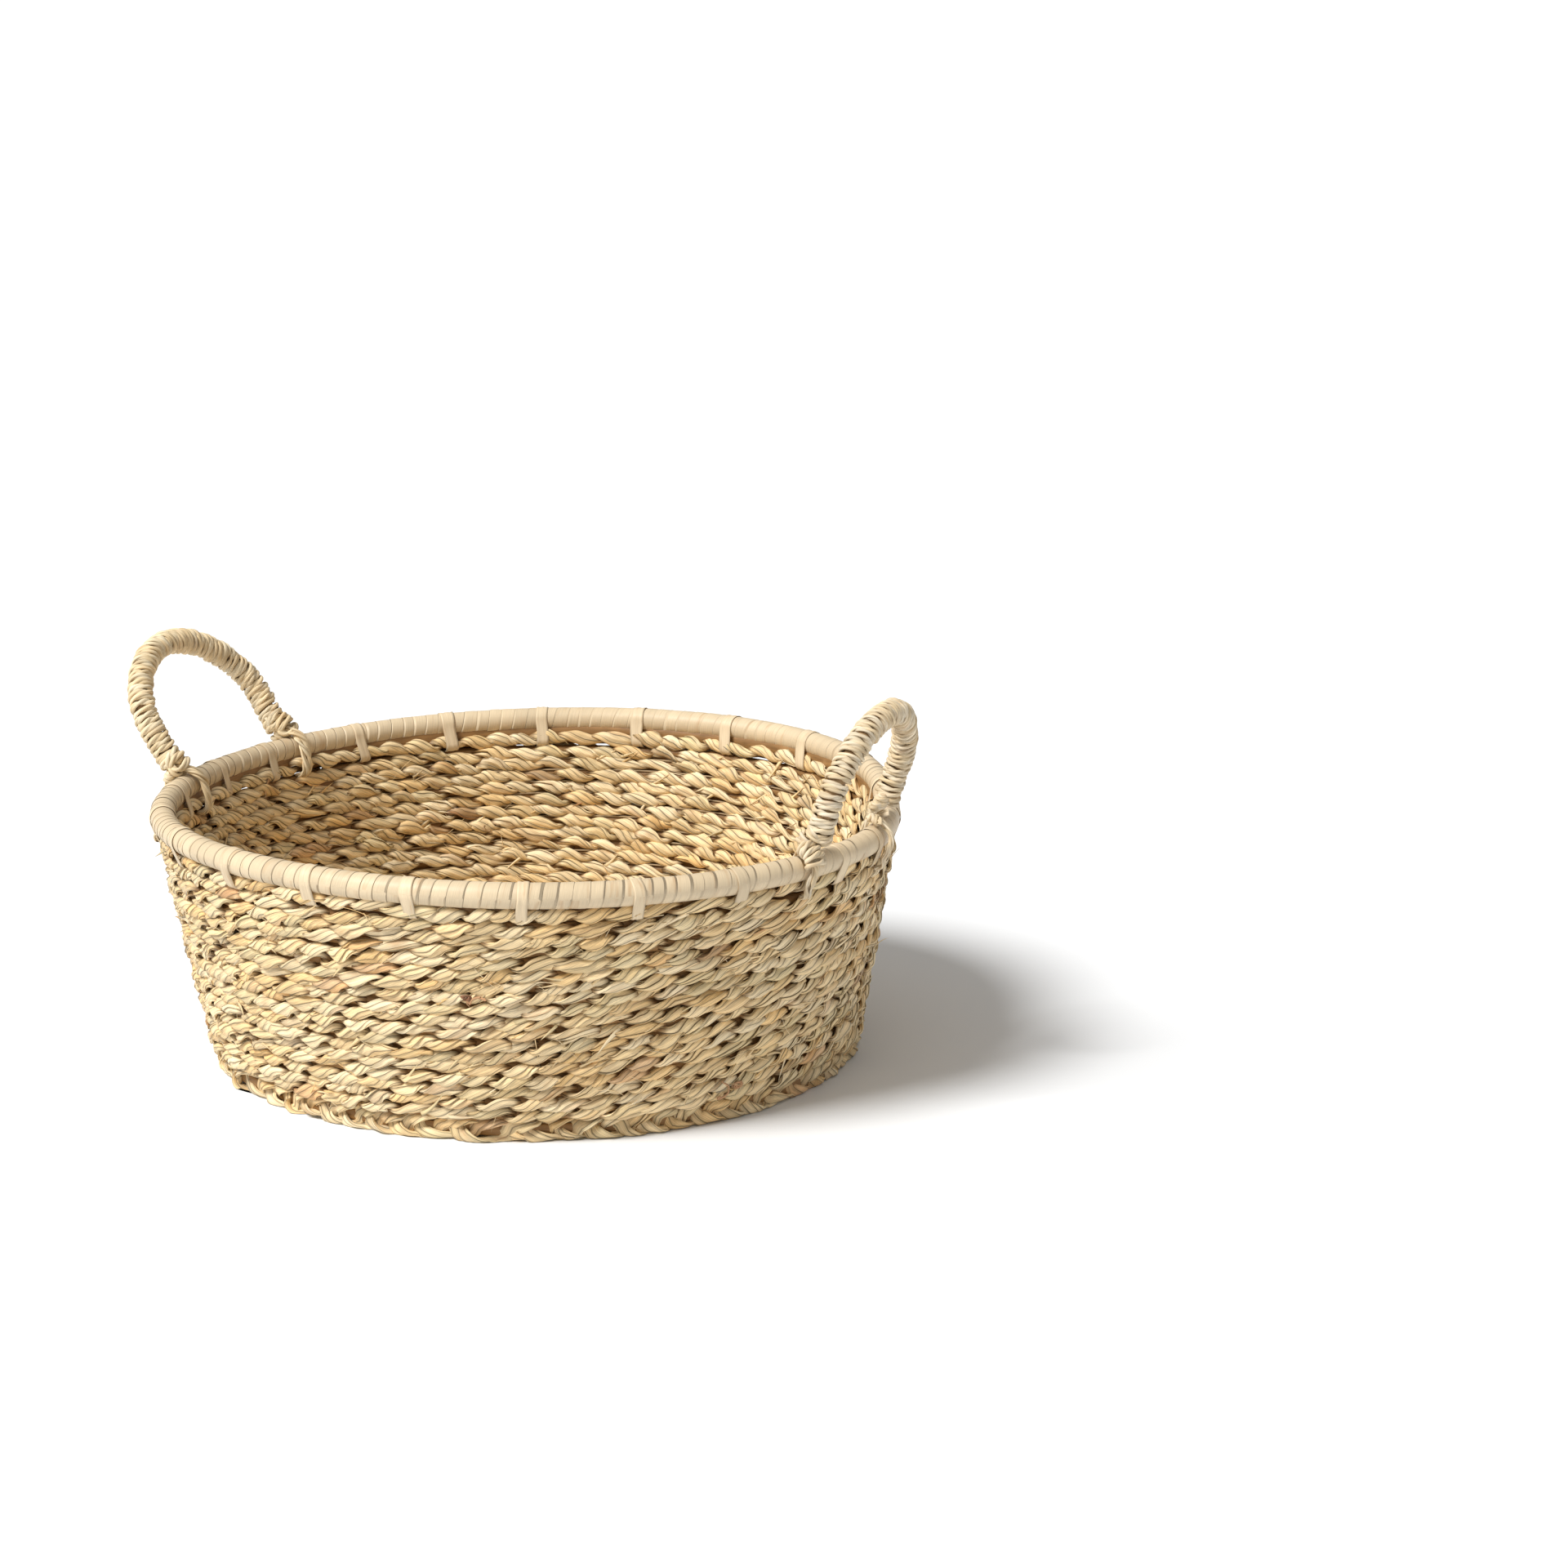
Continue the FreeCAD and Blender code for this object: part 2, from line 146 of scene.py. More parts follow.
# Pale straw, cream, gold, green-grey, reddish and brown blades, and how common each is.
PALETTE = np.array([
    [0.92, 0.695, 0.385],
    [0.97, 0.790, 0.510],
    [0.90, 0.600, 0.265],
    [0.82, 0.655, 0.370],
    [0.74, 0.430, 0.210],
    [0.36, 0.185, 0.080],
])
SHARES = np.array([0.43, 0.27, 0.135, 0.125, 0.027, 0.013])


def straw_tints(rng, shape, shares=SHARES):
    """Random blade colours from the palette, each a little lighter or darker."""
    picks = rng.choice(len(PALETTE), size=shape, p=shares)
    return PALETTE[picks] * rng.uniform(0.78, 1.08, (*shape, 1))


# ------------------------------------------------------------------------------ mesh builder


GROUND_CLEARANCE = 0.05 * MM


class Tubes:
    """Collects closed tubes and makes one mesh object of them."""

    def __init__(self):
        self.points, self.quads, self.caps = [], [], []
        self.tints, self.fibres, self.creases = [], [], []
        self.count = 0

    def add(self, grid, tint, fibre, closed=False, crease=None):
        """grid: stations x section points x 3, the section turning from the tube's left to its
        outside. An open tube gets an end face at each end. crease marks the section points
        whose lengthways edges are sharp."""
        n, m, _ = grid.shape
        ids = self.count + np.arange(n * m).reshape(n, m)
        here = ids if closed else ids[:-1]
        there = np.roll(ids, -1, axis=0) if closed else ids[1:]
        quad = np.stack([here, there, np.roll(there, -1, axis=1), np.roll(here, -1, axis=1)], -1)
        self.quads.append(quad.reshape(-1, 4))
        if not closed:
            self.caps.append(ids[0])
            self.caps.append(ids[-1][::-1])
        self.points.append(grid.reshape(-1, 3))
        self.tints.append(np.broadcast_to(tint, (n, m, 3)).reshape(-1, 3))
        self.fibres.append(np.broadcast_to(fibre, (n, m, 3)).reshape(-1, 3))
        marks = np.zeros(m, np.int64) if crease is None else np.where(crease, np.arange(m) + 1, 0)
        self.creases.append(np.broadcast_to(marks, (n, m)).reshape(-1))
        self.count += n * m

    def build(self, name, material):
        points = warp(np.concatenate(self.points))
        points[:, 2] = np.maximum(points[:, 2], GROUND_CLEARANCE)
        quads = np.concatenate(self.quads)
        loops = [quads.reshape(-1)] + list(self.caps)
        totals = np.concatenate([np.full(len(quads), 4), [len(c) for c in self.caps]]).astype(int)
        loops = np.concatenate(loops)
        mesh = bpy.data.meshes.new(name)
        mesh.vertices.add(len(points))
        mesh.vertices.foreach_set("co", points.astype(np.float32).reshape(-1))
        mesh.loops.add(len(loops))
        mesh.loops.foreach_set("vertex_index", loops.astype(np.int32))
        mesh.polygons.add(len(totals))
        starts = np.concatenate([[0], np.cumsum(totals)[:-1]])
        mesh.polygons.foreach_set("loop_start", starts.astype(np.int32))
        mesh.polygons.foreach_set("use_smooth", np.ones(len(totals), bool))
        tint = mesh.attributes.new("tint", "FLOAT_COLOR", "POINT")
        rgba = np.ones((len(points), 4), np.float32)
        rgba[:, :3] = np.concatenate(self.tints)
        tint.data.foreach_set("color", rgba.reshape(-1))
        fibre = mesh.attributes.new("fibre", "FLOAT_VECTOR", "POINT")
        fibre.data.foreach_set("vector", np.concatenate(self.fibres).astype(np.float32).reshape(-1))
        mesh.update(calc_edges=True)
        self.mark_creases(mesh)
        mesh.materials.append(material)
        piece = bpy.data.objects.new(name, mesh)
        bpy.context.scene.collection.objects.link(piece)
        return piece

    def mark_creases(self, mesh):
        """Edges that run along a marked section point are sharp."""
        marks = np.concatenate(self.creases)
        if not marks.any():
            return
        ends = np.empty(len(mesh.edges) * 2, np.int32)
        mesh.edges.foreach_get("vertices", ends)
        first, second = marks[ends[::2]], marks[ends[1::2]]
        sharp = mesh.attributes.new("sharp_edge", "BOOLEAN", "EDGE")
        sharp.data.foreach_set("value", (first > 0) & (first == second))


OVAL = 0.009
EGG = (0.010, 0.006)
DENT_ANGLE, DENT_SPREAD = math.radians(30), math.radians(20)
DENT_AT_GROUND, DENT_FALL = 0.018, 0.052
RIM_WAVE = 2.0 * MM
STILL_MIDDLE = 0.3


def warp(points):
    """The slight out-of-round of a hand-made basket, least at the handles' feet, and a steeper
    stretch of wall behind the right handle."""
    x, y, z = points.T
    angle = np.arctan2(y, x)
    rise = np.clip(z / RIM_Z, 0, 1)
    foot = math.asin(LOOPS["left_handle"]["lashing"] / RIM_RADIUS)
    side = np.sin(angle) ** 2
    scale = OVAL * (math.cos(2 * foot) - np.cos(2 * angle))
    scale -= side * (EGG[0] * np.cos(3 * angle) + EGG[1] * np.sin(3 * angle))
    dent = np.exp(-((angle - DENT_ANGLE) / DENT_SPREAD) ** 2)
    scale += dent * (DENT_AT_GROUND - DENT_FALL * rise)
    lift = RIM_WAVE * (math.cos(2 * foot) - np.cos(2 * angle)) * rise
    away = smooth(np.hypot(x, y) / (STILL_MIDDLE * RIM_RADIUS))
    return np.stack([x * (1 + scale * away), y * (1 + scale * away), z + lift], 1)


def normalise(v):
    return v / np.linalg.norm(v, axis=-1, keepdims=True)


def tangents(points, closed):
    if closed:
        return normalise(np.roll(points, -1, axis=0) - np.roll(points, 1, axis=0))
    return normalise(np.gradient(points, axis=0))


# ------------------------------------------------------------------------------------ plait

BLADES = 6
# Section points across a blade, from one edge to the other, and the painted light and shade on each: dark
# in the crease at the first edge, light on the face.
BLADE_STEPS = np.array([0.02, 0.16, 0.55, 0.97])
BLADE_PAINTED_LIGHT = np.array([0.16, 0.96, 1.14, 0.80])
BLADE_STEP = 0.66 * MM
# Painted shade: what is left of the colour where a strand dives under another.
DEPTH_SHADE = np.array([0.28, 0.195, 0.12])
DIVES_AT, DIVE_RANGE = 0.23, 0.34
LOBE_WANDER = 0.65 * MM
CROSSING_HEIGHT = 1.90 * MM
EDGE_HOLD = 0.46
TWIST_HOLD = 0.7
TWIST_WANDER = 0.33
FULL_WIDTH = 0.96
HOLLOW = 0.9 * MM
BUNDLE_SHARE = 0.66


def strand(tubes, rng, centre, across, stack, theta, closed, waist=0.56, dive_shade=1.0):
    """One strand of the plait: a bundle of folded blades that turns over at each edge. waist is its width
    where it crosses the others; the next argument sets how dark the painted shade makes it there."""
    n = len(centre)
    x = theta / math.pi
    lobes = max(2, int(round((x[-1] - x[0]) / 2)) * 2)
    swing = np.sin(theta)
    size = lobe_values(rng.uniform(0.80, 1.32, lobes), x)
    reach = PLAIT_WIDTH / 2 - STRAND_THICKNESS / 2
    reach = reach + lobe_values(rng.normal(0, LOBE_WANDER, lobes), x)
    lift = lobe_values(rng.normal(0, LOBE_WANDER, lobes), x)
    wave = np.sin(2 * theta)
    path = (
        centre
        + across * (reach * np.sign(swing) * np.abs(swing) ** EDGE_HOLD)[:, None]
        + stack * (lift - CROSSING_HEIGHT * wave)[:, None]
    )
    along = tangents(path, closed)
    turn = -math.pi / 2 * np.cos(theta) * np.abs(np.cos(theta)) ** TWIST_HOLD
    turn += lobe_values(rng.normal(0, TWIST_WANDER, lobes), x)
    out = across * np.cos(turn)[:, None] + stack * np.sin(turn)[:, None]
    out = normalise(out - along * np.sum(out * along, 1)[:, None])
    wide = np.cross(along, out)

    half_width = STRAND_WIDTH / 2 * size * (waist + (FULL_WIDTH - waist) * np.abs(swing) ** 1.6)
    half_depth = STRAND_THICKNESS / 2 * (1.38 - 0.31 * swing**2)
    jitter = lobe_values(rng.uniform(-0.30, 0.30, (lobes, BLADES)), x)
    cells = np.arange(3 * lobes + 2)
    drift = rng.uniform(-0.11, 0.11, len(cells))
    if closed:
        drift[3 * lobes:] = drift[:2]
    swirl = np.interp((x - x[0]) / (x[-1] - x[0]) * 3 * lobes, cells, drift)
    edges = (np.arange(BLADES) + jitter) / BLADES + swirl[:, None]
    following = np.concatenate([edges[:, 1:], edges[:, :1] + 1], axis=1)
    a = TAU * (edges[:, :, None] + (following - edges)[:, :, None] * BLADE_STEPS)
    step = lobe_values(rng.normal(0, 1, (lobes, BLADES)), x)[:, :, None] * BLADE_STEP
    arch = lobe_values(rng.uniform(-0.25, 0.20, (lobes, BLADES)), x)[:, :, None] * MM
    height = step * (BLADE_STEPS - 0.5) + arch * 4 * BLADE_STEPS * (1 - BLADE_STEPS)
    cos_a, sin_a = np.cos(a), np.sin(a)
    hw, hd = half_width[:, None, None], half_depth[:, None, None]
    normal_x, normal_y = cos_a / hw, sin_a / hd
    size_n = np.hypot(normal_x, normal_y)
    sx = hw * cos_a + height * normal_x / size_n
    sy = hd * sin_a + height * normal_y / size_n
    sy -= (swing * HOLLOW)[:, None, None] * cos_a**2
    m = BLADES * len(BLADE_STEPS)
    sx, sy = sx.reshape(n, m), sy.reshape(n, m)
    grid = path[:, None] + wide[:, None] * sx[..., None] + out[:, None] * sy[..., None]

    bundle = lobe_values(straw_tints(rng, (lobes,)), x)[:, None, None]
    blade = lobe_values(straw_tints(rng, (lobes, BLADES)), x)[:, :, None]
    # Painted light and shade across each blade: painted shade in the crease at its first edge, painted
    # light across its face.
    blade_painted_light = BLADE_PAINTED_LIGHT[None, None, :, None]
    # Painted shade where the strand dives under the others, darkest in the plait's depths.
    hidden = 1 - smooth((np.abs(swing) - DIVES_AT) / DIVE_RANGE)[:, None, None, None]
    painted_dive_shade = 1 - dive_shade * (1 - DEPTH_SHADE) * hidden
    mixed = BUNDLE_SHARE * bundle + (1 - BUNDLE_SHARE) * blade
    tint = (mixed * blade_painted_light * painted_dive_shade).reshape(n, m, 3)
    run = np.concatenate([[0], np.cumsum(np.linalg.norm(np.diff(path, axis=0), axis=1))])
    offset = rng.uniform(0, 5)
    flat = a.reshape(n, m)
    fibre = np.stack([
        np.broadcast_to(run[:, None] + offset, (n, m)),
        np.cos(flat) * STRAND_WIDTH / 2,
        np.sin(flat) * STRAND_WIDTH / 2 + offset,
    ], -1)
    tubes.add(grid, tint, fibre, closed, crease=np.arange(m) % len(BLADE_STEPS) != 1)


CORE_EVERY = 4
CORE_HALF_WIDTH = 3.1 * MM
CORE_HALF_DEPTH = {"flat": 3.7 * MM, "upright": 0.8 * MM, "floor": 2.6 * MM}


def plait_core(tubes, centre, across, stack, closed, deep_half, extra=0.0):
    """The crushed fibre in the middle of a plait, where its strands cross, coloured dark straw as painted
    shade of the plait's depths. extra thickens it along stack and shifts it that way."""
    deep = stack[::CORE_EVERY]
    path, wide = centre[::CORE_EVERY] + 0.38 * extra * deep, across[::CORE_EVERY]
    a = TAU * np.arange(8) / 8
    grid = (
        path[:, None] + wide[:, None] * (CORE_HALF_WIDTH * np.cos(a))[None, :, None]
        + deep[:, None] * ((deep_half + 0.5 * extra) * np.sin(a))[None, :, None]
    )
    fibre = np.stack(np.broadcast_arrays(
        np.arange(len(path))[:, None] * 6 * MM, MM * np.cos(a), MM * np.sin(a)
    ), -1)
    # Dark straw: painted shade of the plait's depths.
    tubes.add(grid, 1.15 * DEPTH_SHADE * PALETTE[0], fibre, closed)


def ring_plait(tubes, seed, radius, z, upright, step, extra=0.0):
    """A closed turn of plait. Lying flat its edges face in and out; upright, up and down."""
    rng = np.random.default_rng(seed)
    length = TAU * radius
    periods = int(round(length / PLAIT_PERIOD)) + int(rng.integers(-1, 2))
    n = int(length / step)
    turn = np.arange(n) / n
    angle = TAU * turn
    radial = np.stack([np.cos(angle), np.sin(angle), np.zeros(n)], 1)
    up = np.broadcast_to([0.0, 0.0, 1.0], (n, 3))
    r = radius + 0.5 * MM * ring_noise(rng, 23, turn)
    level = z + 0.35 * MM * ring_noise(rng, 31, turn)
    centre = radial * r[:, None] + up * level[:, None]
    across, stack = (up, -radial) if upright else (radial, up)
    ease = ring_noise(rng, periods, turn)
    start = rng.uniform(0, TAU)
    for index in range(3):
        own = 0.34 * ring_noise(rng, periods, turn)
        theta = TAU * (periods * turn + index / 3) + start + ease + own
        if upright:
            strand(tubes, rng, centre, across, stack, theta, True, waist=1.10, dive_shade=0.18)
        else:
            strand(tubes, rng, centre, across, stack, theta, True)
    half_depth = CORE_HALF_DEPTH["upright" if upright else "flat"]
    plait_core(tubes, centre, across, stack, True, half_depth, extra)


def spiral_plait(tubes, seed, outer, inner, pitch, z, step, start_angle):
    """An open spiral of plait standing on edge, from an outer to an inner radius."""
    rng = np.random.default_rng(seed)
    turns = (outer - inner) / pitch
    length = math.pi * (outer + inner) * turns
    n = int(length / step)
    # Equal steps along the spiral: its length grows with the square of the radius.
    share = np.linspace(0, 1, n)
    radius = np.sqrt(outer**2 - (outer**2 - inner**2) * share)
    angle = start_angle + TAU * (outer - radius) / pitch
    radial = np.stack([np.cos(angle), np.sin(angle), np.zeros(n)], 1)
    up = np.broadcast_to([0.0, 0.0, 1.0], (n, 3))
    centre = radial * radius[:, None] + up * z
    periods = length / PLAIT_PERIOD
    for index in range(3):
        theta = TAU * (periods * share + index / 3)
        strand(tubes, rng, centre, up, -radial, theta, closed=False)
    plait_core(tubes, centre, up, -radial, False, CORE_HALF_DEPTH["floor"])
    return angle[-1]


# -------------------------------------------------------------------------------- materials


def new_material(name):
    material = bpy.data.materials.new(name)
    material.use_nodes = True
    nodes = material.node_tree.nodes
    return material, nodes, material.node_tree.links, nodes["Principled BSDF"]


def fibre_noise(nodes, links, fibre, scale, detail, roughness=0.5):
    """Noise along the fibre, drawn out by scale."""
    stretch = nodes.new("ShaderNodeVectorMath")
    stretch.operation = "MULTIPLY"
    stretch.inputs[1].default_value = scale
    links.new(fibre.outputs["Vector"], stretch.inputs[0])
    noise = nodes.new("ShaderNodeTexNoise")
    noise.inputs["Scale"].default_value = 1.0
    noise.inputs["Detail"].default_value = detail
    noise.inputs["Roughness"].default_value = roughness
    links.new(stretch.outputs["Vector"], noise.inputs["Vector"])
    return noise.outputs["Fac"]


def mapped(nodes, links, value, old, new):
    """The value taken from the old range to the new one."""
    node = nodes.new("ShaderNodeMapRange")
    for name, limit in zip(("From Min", "From Max", "To Min", "To Max"), (*old, *new)):
        node.inputs[name].default_value = limit
    links.new(value, node.inputs["Value"])
    return node.outputs["Result"]


def fibre_material(name, roughness, specular, streak, bump, along_scale, across_scale):
    """Plant fibre: blade colour from the mesh, fine streaks and creases along the fibre."""
    material, nodes, links, shader = new_material(name)
    tint = nodes.new("ShaderNodeAttribute")
    tint.attribute_name = "tint"
    fibre = nodes.new("ShaderNodeAttribute")
    fibre.attribute_name = "fibre"
    streaks = fibre_noise(nodes, links, fibre, (along_scale, across_scale, across_scale), 4.0, 0.6)
    tone = mapped(nodes, links, streaks, (0.3, 0.7), (1 - streak, 1 + streak * 0.6))
    blotches = fibre_noise(
        nodes, links, fibre, (along_scale * 0.8, across_scale * 0.08, across_scale * 0.08), 2.0
    )
    stain = mapped(nodes, links, blotches, (0.58, 0.80), (0.0, 0.65))

    toned = nodes.new("ShaderNodeVectorMath")
    toned.operation = "SCALE"
    links.new(tint.outputs["Color"], toned.inputs[0])
    links.new(tone, toned.inputs["Scale"])
    stained = nodes.new("ShaderNodeMix")
    stained.data_type = "RGBA"
    stained.inputs["B"].default_value = (0.50, 0.30, 0.14, 1)
    links.new(toned.outputs["Vector"], stained.inputs["A"])
    links.new(stain, stained.inputs["Factor"])
    links.new(stained.outputs["Result"], shader.inputs["Base Color"])

    relief = nodes.new("ShaderNodeBump")
    relief.inputs["Strength"].default_value = bump
    relief.inputs["Distance"].default_value = 0.25 * MM
    links.new(streaks, relief.inputs["Height"])
    links.new(relief.outputs["Normal"], shader.inputs["Normal"])
    shader.inputs["Roughness"].default_value = roughness
    shader.inputs["Specular IOR Level"].default_value = specular
    return material


SEAGRASS = fibre_material("seagrass", roughness=0.52, specular=0.35, streak=0.34, bump=0.70,
                          along_scale=70, across_scale=2600)
STRIP = fibre_material("palm_strip", roughness=0.45, specular=0.30, streak=0.16, bump=0.30,
                       along_scale=60, across_scale=3000)
CORD = fibre_material("twisted_cord", roughness=0.62, specular=0.30, streak=0.28, bump=0.60,
                      along_scale=90, across_scale=2600)
THREAD = fibre_material("sewing_thread", roughness=0.70, specular=0.25, streak=0.25, bump=0.40,
                        along_scale=90, across_scale=2600)
CANE = fibre_material("cane", roughness=0.60, specular=0.30, streak=0.25, bump=0.30,
                      along_scale=60, across_scale=1800)


def finish_piece(piece, body, slot, *nodes):
    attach(piece, body)
    if nodes:
        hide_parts(*nodes)
    return piece


# ----------------------------------------------------------------------- wall and floor

WALL_SEED, EDGE_SEED, FLOOR_SEED = 100, 90, 70
WALL_STEP, FLOOR_STEP = 1.6 * MM, 2.4 * MM
# The top course is pulled up against the rim, and its core, coloured as painted shade, fills the gap below
# the rim.
TOP_RAISED, TOP_EXTRA = 0.8 * MM, 4.6 * MM

for course in range(1, COURSES + 1):
    radius, low, high = course_box(course)
    tubes = Tubes()
    raised, extra = (TOP_RAISED, TOP_EXTRA) if course == COURSES else (0.0, 0.0)
    ring_plait(tubes, WALL_SEED + course, radius, (low + high) / 2 + raised, False, WALL_STEP, extra)
    piece = tubes.build(f"wall_plait_{course:02d}", SEAGRASS)
    finish_piece(piece, "basket", "seagrass_plait", f"wall_course_{course:02d}")

edge_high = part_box("floor_edge_course")[1]
PITCH = course_box(2)[1] - course_box(1)[1]
edge_radius = edge_high[0] - PITCH / 2
tubes = Tubes()
ring_plait(tubes, EDGE_SEED, edge_radius, PLAIT_WIDTH / 2, upright=True, step=WALL_STEP)
finish_piece(tubes.build("floor_edge_plait", SEAGRASS), "basket", "seagrass_plait", "floor_edge_course")

# The floor's spiral is cut into pieces of equal length.
FLOOR_RINGS = 5
floor_outer = edge_radius - PITCH
floor_inner = 4 * MM
bounds = np.sqrt(np.linspace(floor_outer**2, floor_inner**2, FLOOR_RINGS + 1))
heading = 0.0
for index in range(FLOOR_RINGS):
    tubes = Tubes()
    heading = spiral_plait(
        tubes, FLOOR_SEED + index, bounds[index], bounds[index + 1], PITCH, PLAIT_WIDTH / 2,
        FLOOR_STEP, heading
    )
    piece = tubes.build(f"floor_plait_{index + 1}", SEAGRASS)
    finish_piece(piece, "basket", "seagrass_plait", "floor_coil")

# ------------------------------------------------------------- loose ends on the plait

WALL_Z = np.array([sum(course_box(k)[1:]) / 2 for k in range(1, COURSES + 1)])
WALL_R = np.array([course_box(k)[0] for k in range(1, COURSES + 1)])


def wall_points(angle, z, stand_off, facing):
    """Points on the wall's outer (facing 1) or inner (facing -1) skin, stood off it."""
    r = np.interp(z, WALL_Z, WALL_R) + facing * (PLAIT_WIDTH / 2 + stand_off)
    return np.stack(np.broadcast_arrays(r * np.cos(angle), r * np.sin(angle), z), -1)


def loose_ends(name, seed, count, facing):
    """Split blade tips and stray fibres that lie along the plait and lift off at one end."""
    rng = np.random.default_rng(seed)
    tubes = Tubes()
    t = np.linspace(0, 1, 7)
    a = TAU * np.arange(4) / 4
    for _ in range(count):
        fine = rng.random() < 0.45
        length = rng.uniform(8, 24) * MM if fine else rng.uniform(6, 16) * MM
        width = rng.uniform(0.12, 0.30) * MM if fine else rng.uniform(0.6, 1.5) * MM
        slope = math.radians(rng.normal(0, 38) if fine else rng.normal(24, 16)) * facing
        way = rng.choice([-1, 1])
        lift = rng.exponential(1.5) * MM
        sag = rng.normal(0, 0.25)
        angle = rng.uniform(0, TAU)
        z = rng.uniform(WALL_Z[0] - 4 * MM, WALL_Z[-1])
        height = z + way * length * (np.sin(slope) * t + sag * t**2 * np.cos(slope))
        height = np.clip(height, 1.5 * MM, WALL_Z[-1] + 1 * MM)
        path = wall_points(
            angle + way * length * np.cos(slope) * t / WALL_R[0], height,
            -0.9 * MM + 0.9 * MM * np.sqrt(t) + lift * t**2, facing,
        )
        along = tangents(path, False)
        out = normalise(path * [1, 1, 0])
        out = normalise(out - along * np.sum(out * along, 1)[:, None])
        wide = np.cross(along, out)
        taper = (1.02 - t**1.5)[:, None]
        thick = 0.5 * width if fine else 0.16 * MM
        grid = (
            path[:, None]
            + wide[:, None] * (width * taper * np.cos(a))[..., None]
            + out[:, None] * (thick * taper * np.sin(a))[..., None]
        )
        tint = straw_tints(rng, ())
        fibre = np.stack(np.broadcast_arrays((t * length)[:, None], width * np.cos(a), angle), -1)
        tubes.add(grid, tint, fibre)
    finish_piece(tubes.build(name, SEAGRASS), "basket", "seagrass_plait")


def knot(tubes, rng, degrees, height, facing, reach, turns, tint):
    """A small tangle or curl of one dried strand on the wall."""
    t = np.linspace(0, 1, 60)
    a = TAU * (turns * t + rng.uniform(0, 1))
    a += 0.8 * np.interp(t * 8, np.arange(9), rng.uniform(-1, 1, 9))
    swing = reach * (0.30 + 0.70 * t) * np.array([1.0, 0.55])[:, None]
    angle = math.radians(degrees) + swing[0] * np.cos(a) / WALL_R[0]
    path = wall_points(angle, height + swing[1] * np.sin(a), 0.5 * MM * (1 + np.sin(2.3 * a)), facing)
    ring = TAU * np.arange(6) / 6
    along = tangents(path, False)
    out = normalise(path * [1, 1, 0])
    out = normalise(out - along * np.sum(out * along, 1)[:, None])
    wide = np.cross(along, out)
    size = (0.60 * MM * (1.05 - t**3))[:, None]
    grid = (
        path[:, None] + wide[:, None] * (size * np.cos(ring))[..., None]
        + out[:, None] * (0.6 * size * np.sin(ring))[..., None]
    )
    fibre = np.stack(np.broadcast_arrays((t * 30 * MM)[:, None], MM * np.cos(ring), MM * np.sin(ring)), -1)
    tubes.add(grid, np.array(tint), fibre)


def knots():
    rng = np.random.default_rng(33)
    tubes = Tubes()
    brown, rust, straw = (0.26, 0.12, 0.06), (0.56, 0.31, 0.16), (0.50, 0.33, 0.17)
    knot(tubes, rng, degrees=289.6, height=81 * MM, facing=1, reach=3.0 * MM, turns=2.4,
         tint=brown)
    knot(tubes, rng, degrees=292.0, height=79 * MM, facing=1, reach=8.0 * MM, turns=0.4,
         tint=rust)
    knot(tubes, rng, degrees=335.8, height=20 * MM, facing=1, reach=4.0 * MM, turns=2.6,
         tint=rust)
    knot(tubes, rng, degrees=331.0, height=17 * MM, facing=1, reach=14.0 * MM, turns=0.35,
         tint=rust)
    knot(tubes, rng, degrees=128.2, height=78 * MM, facing=-1, reach=7.0 * MM, turns=0.9,
         tint=straw)
    finish_piece(tubes.build("dried_knots", SEAGRASS), "basket", "seagrass_plait")


loose_ends("loose_ends_outside", seed=31, count=620, facing=1)
loose_ends("loose_ends_inside", seed=32, count=380, facing=-1)
knots()

# --------------------------------------------------------------------- rim and its strips

CREAM = np.array([0.715, 0.580, 0.395])
RIM_BANDS = 165
DARK_CANE = np.array([0.45, 0.30, 0.16])
DARK_THREAD = np.array([0.40, 0.29, 0.17])
THREAD_RADIUS = 0.55 * MM
THREAD_INSET = 3.4 * MM


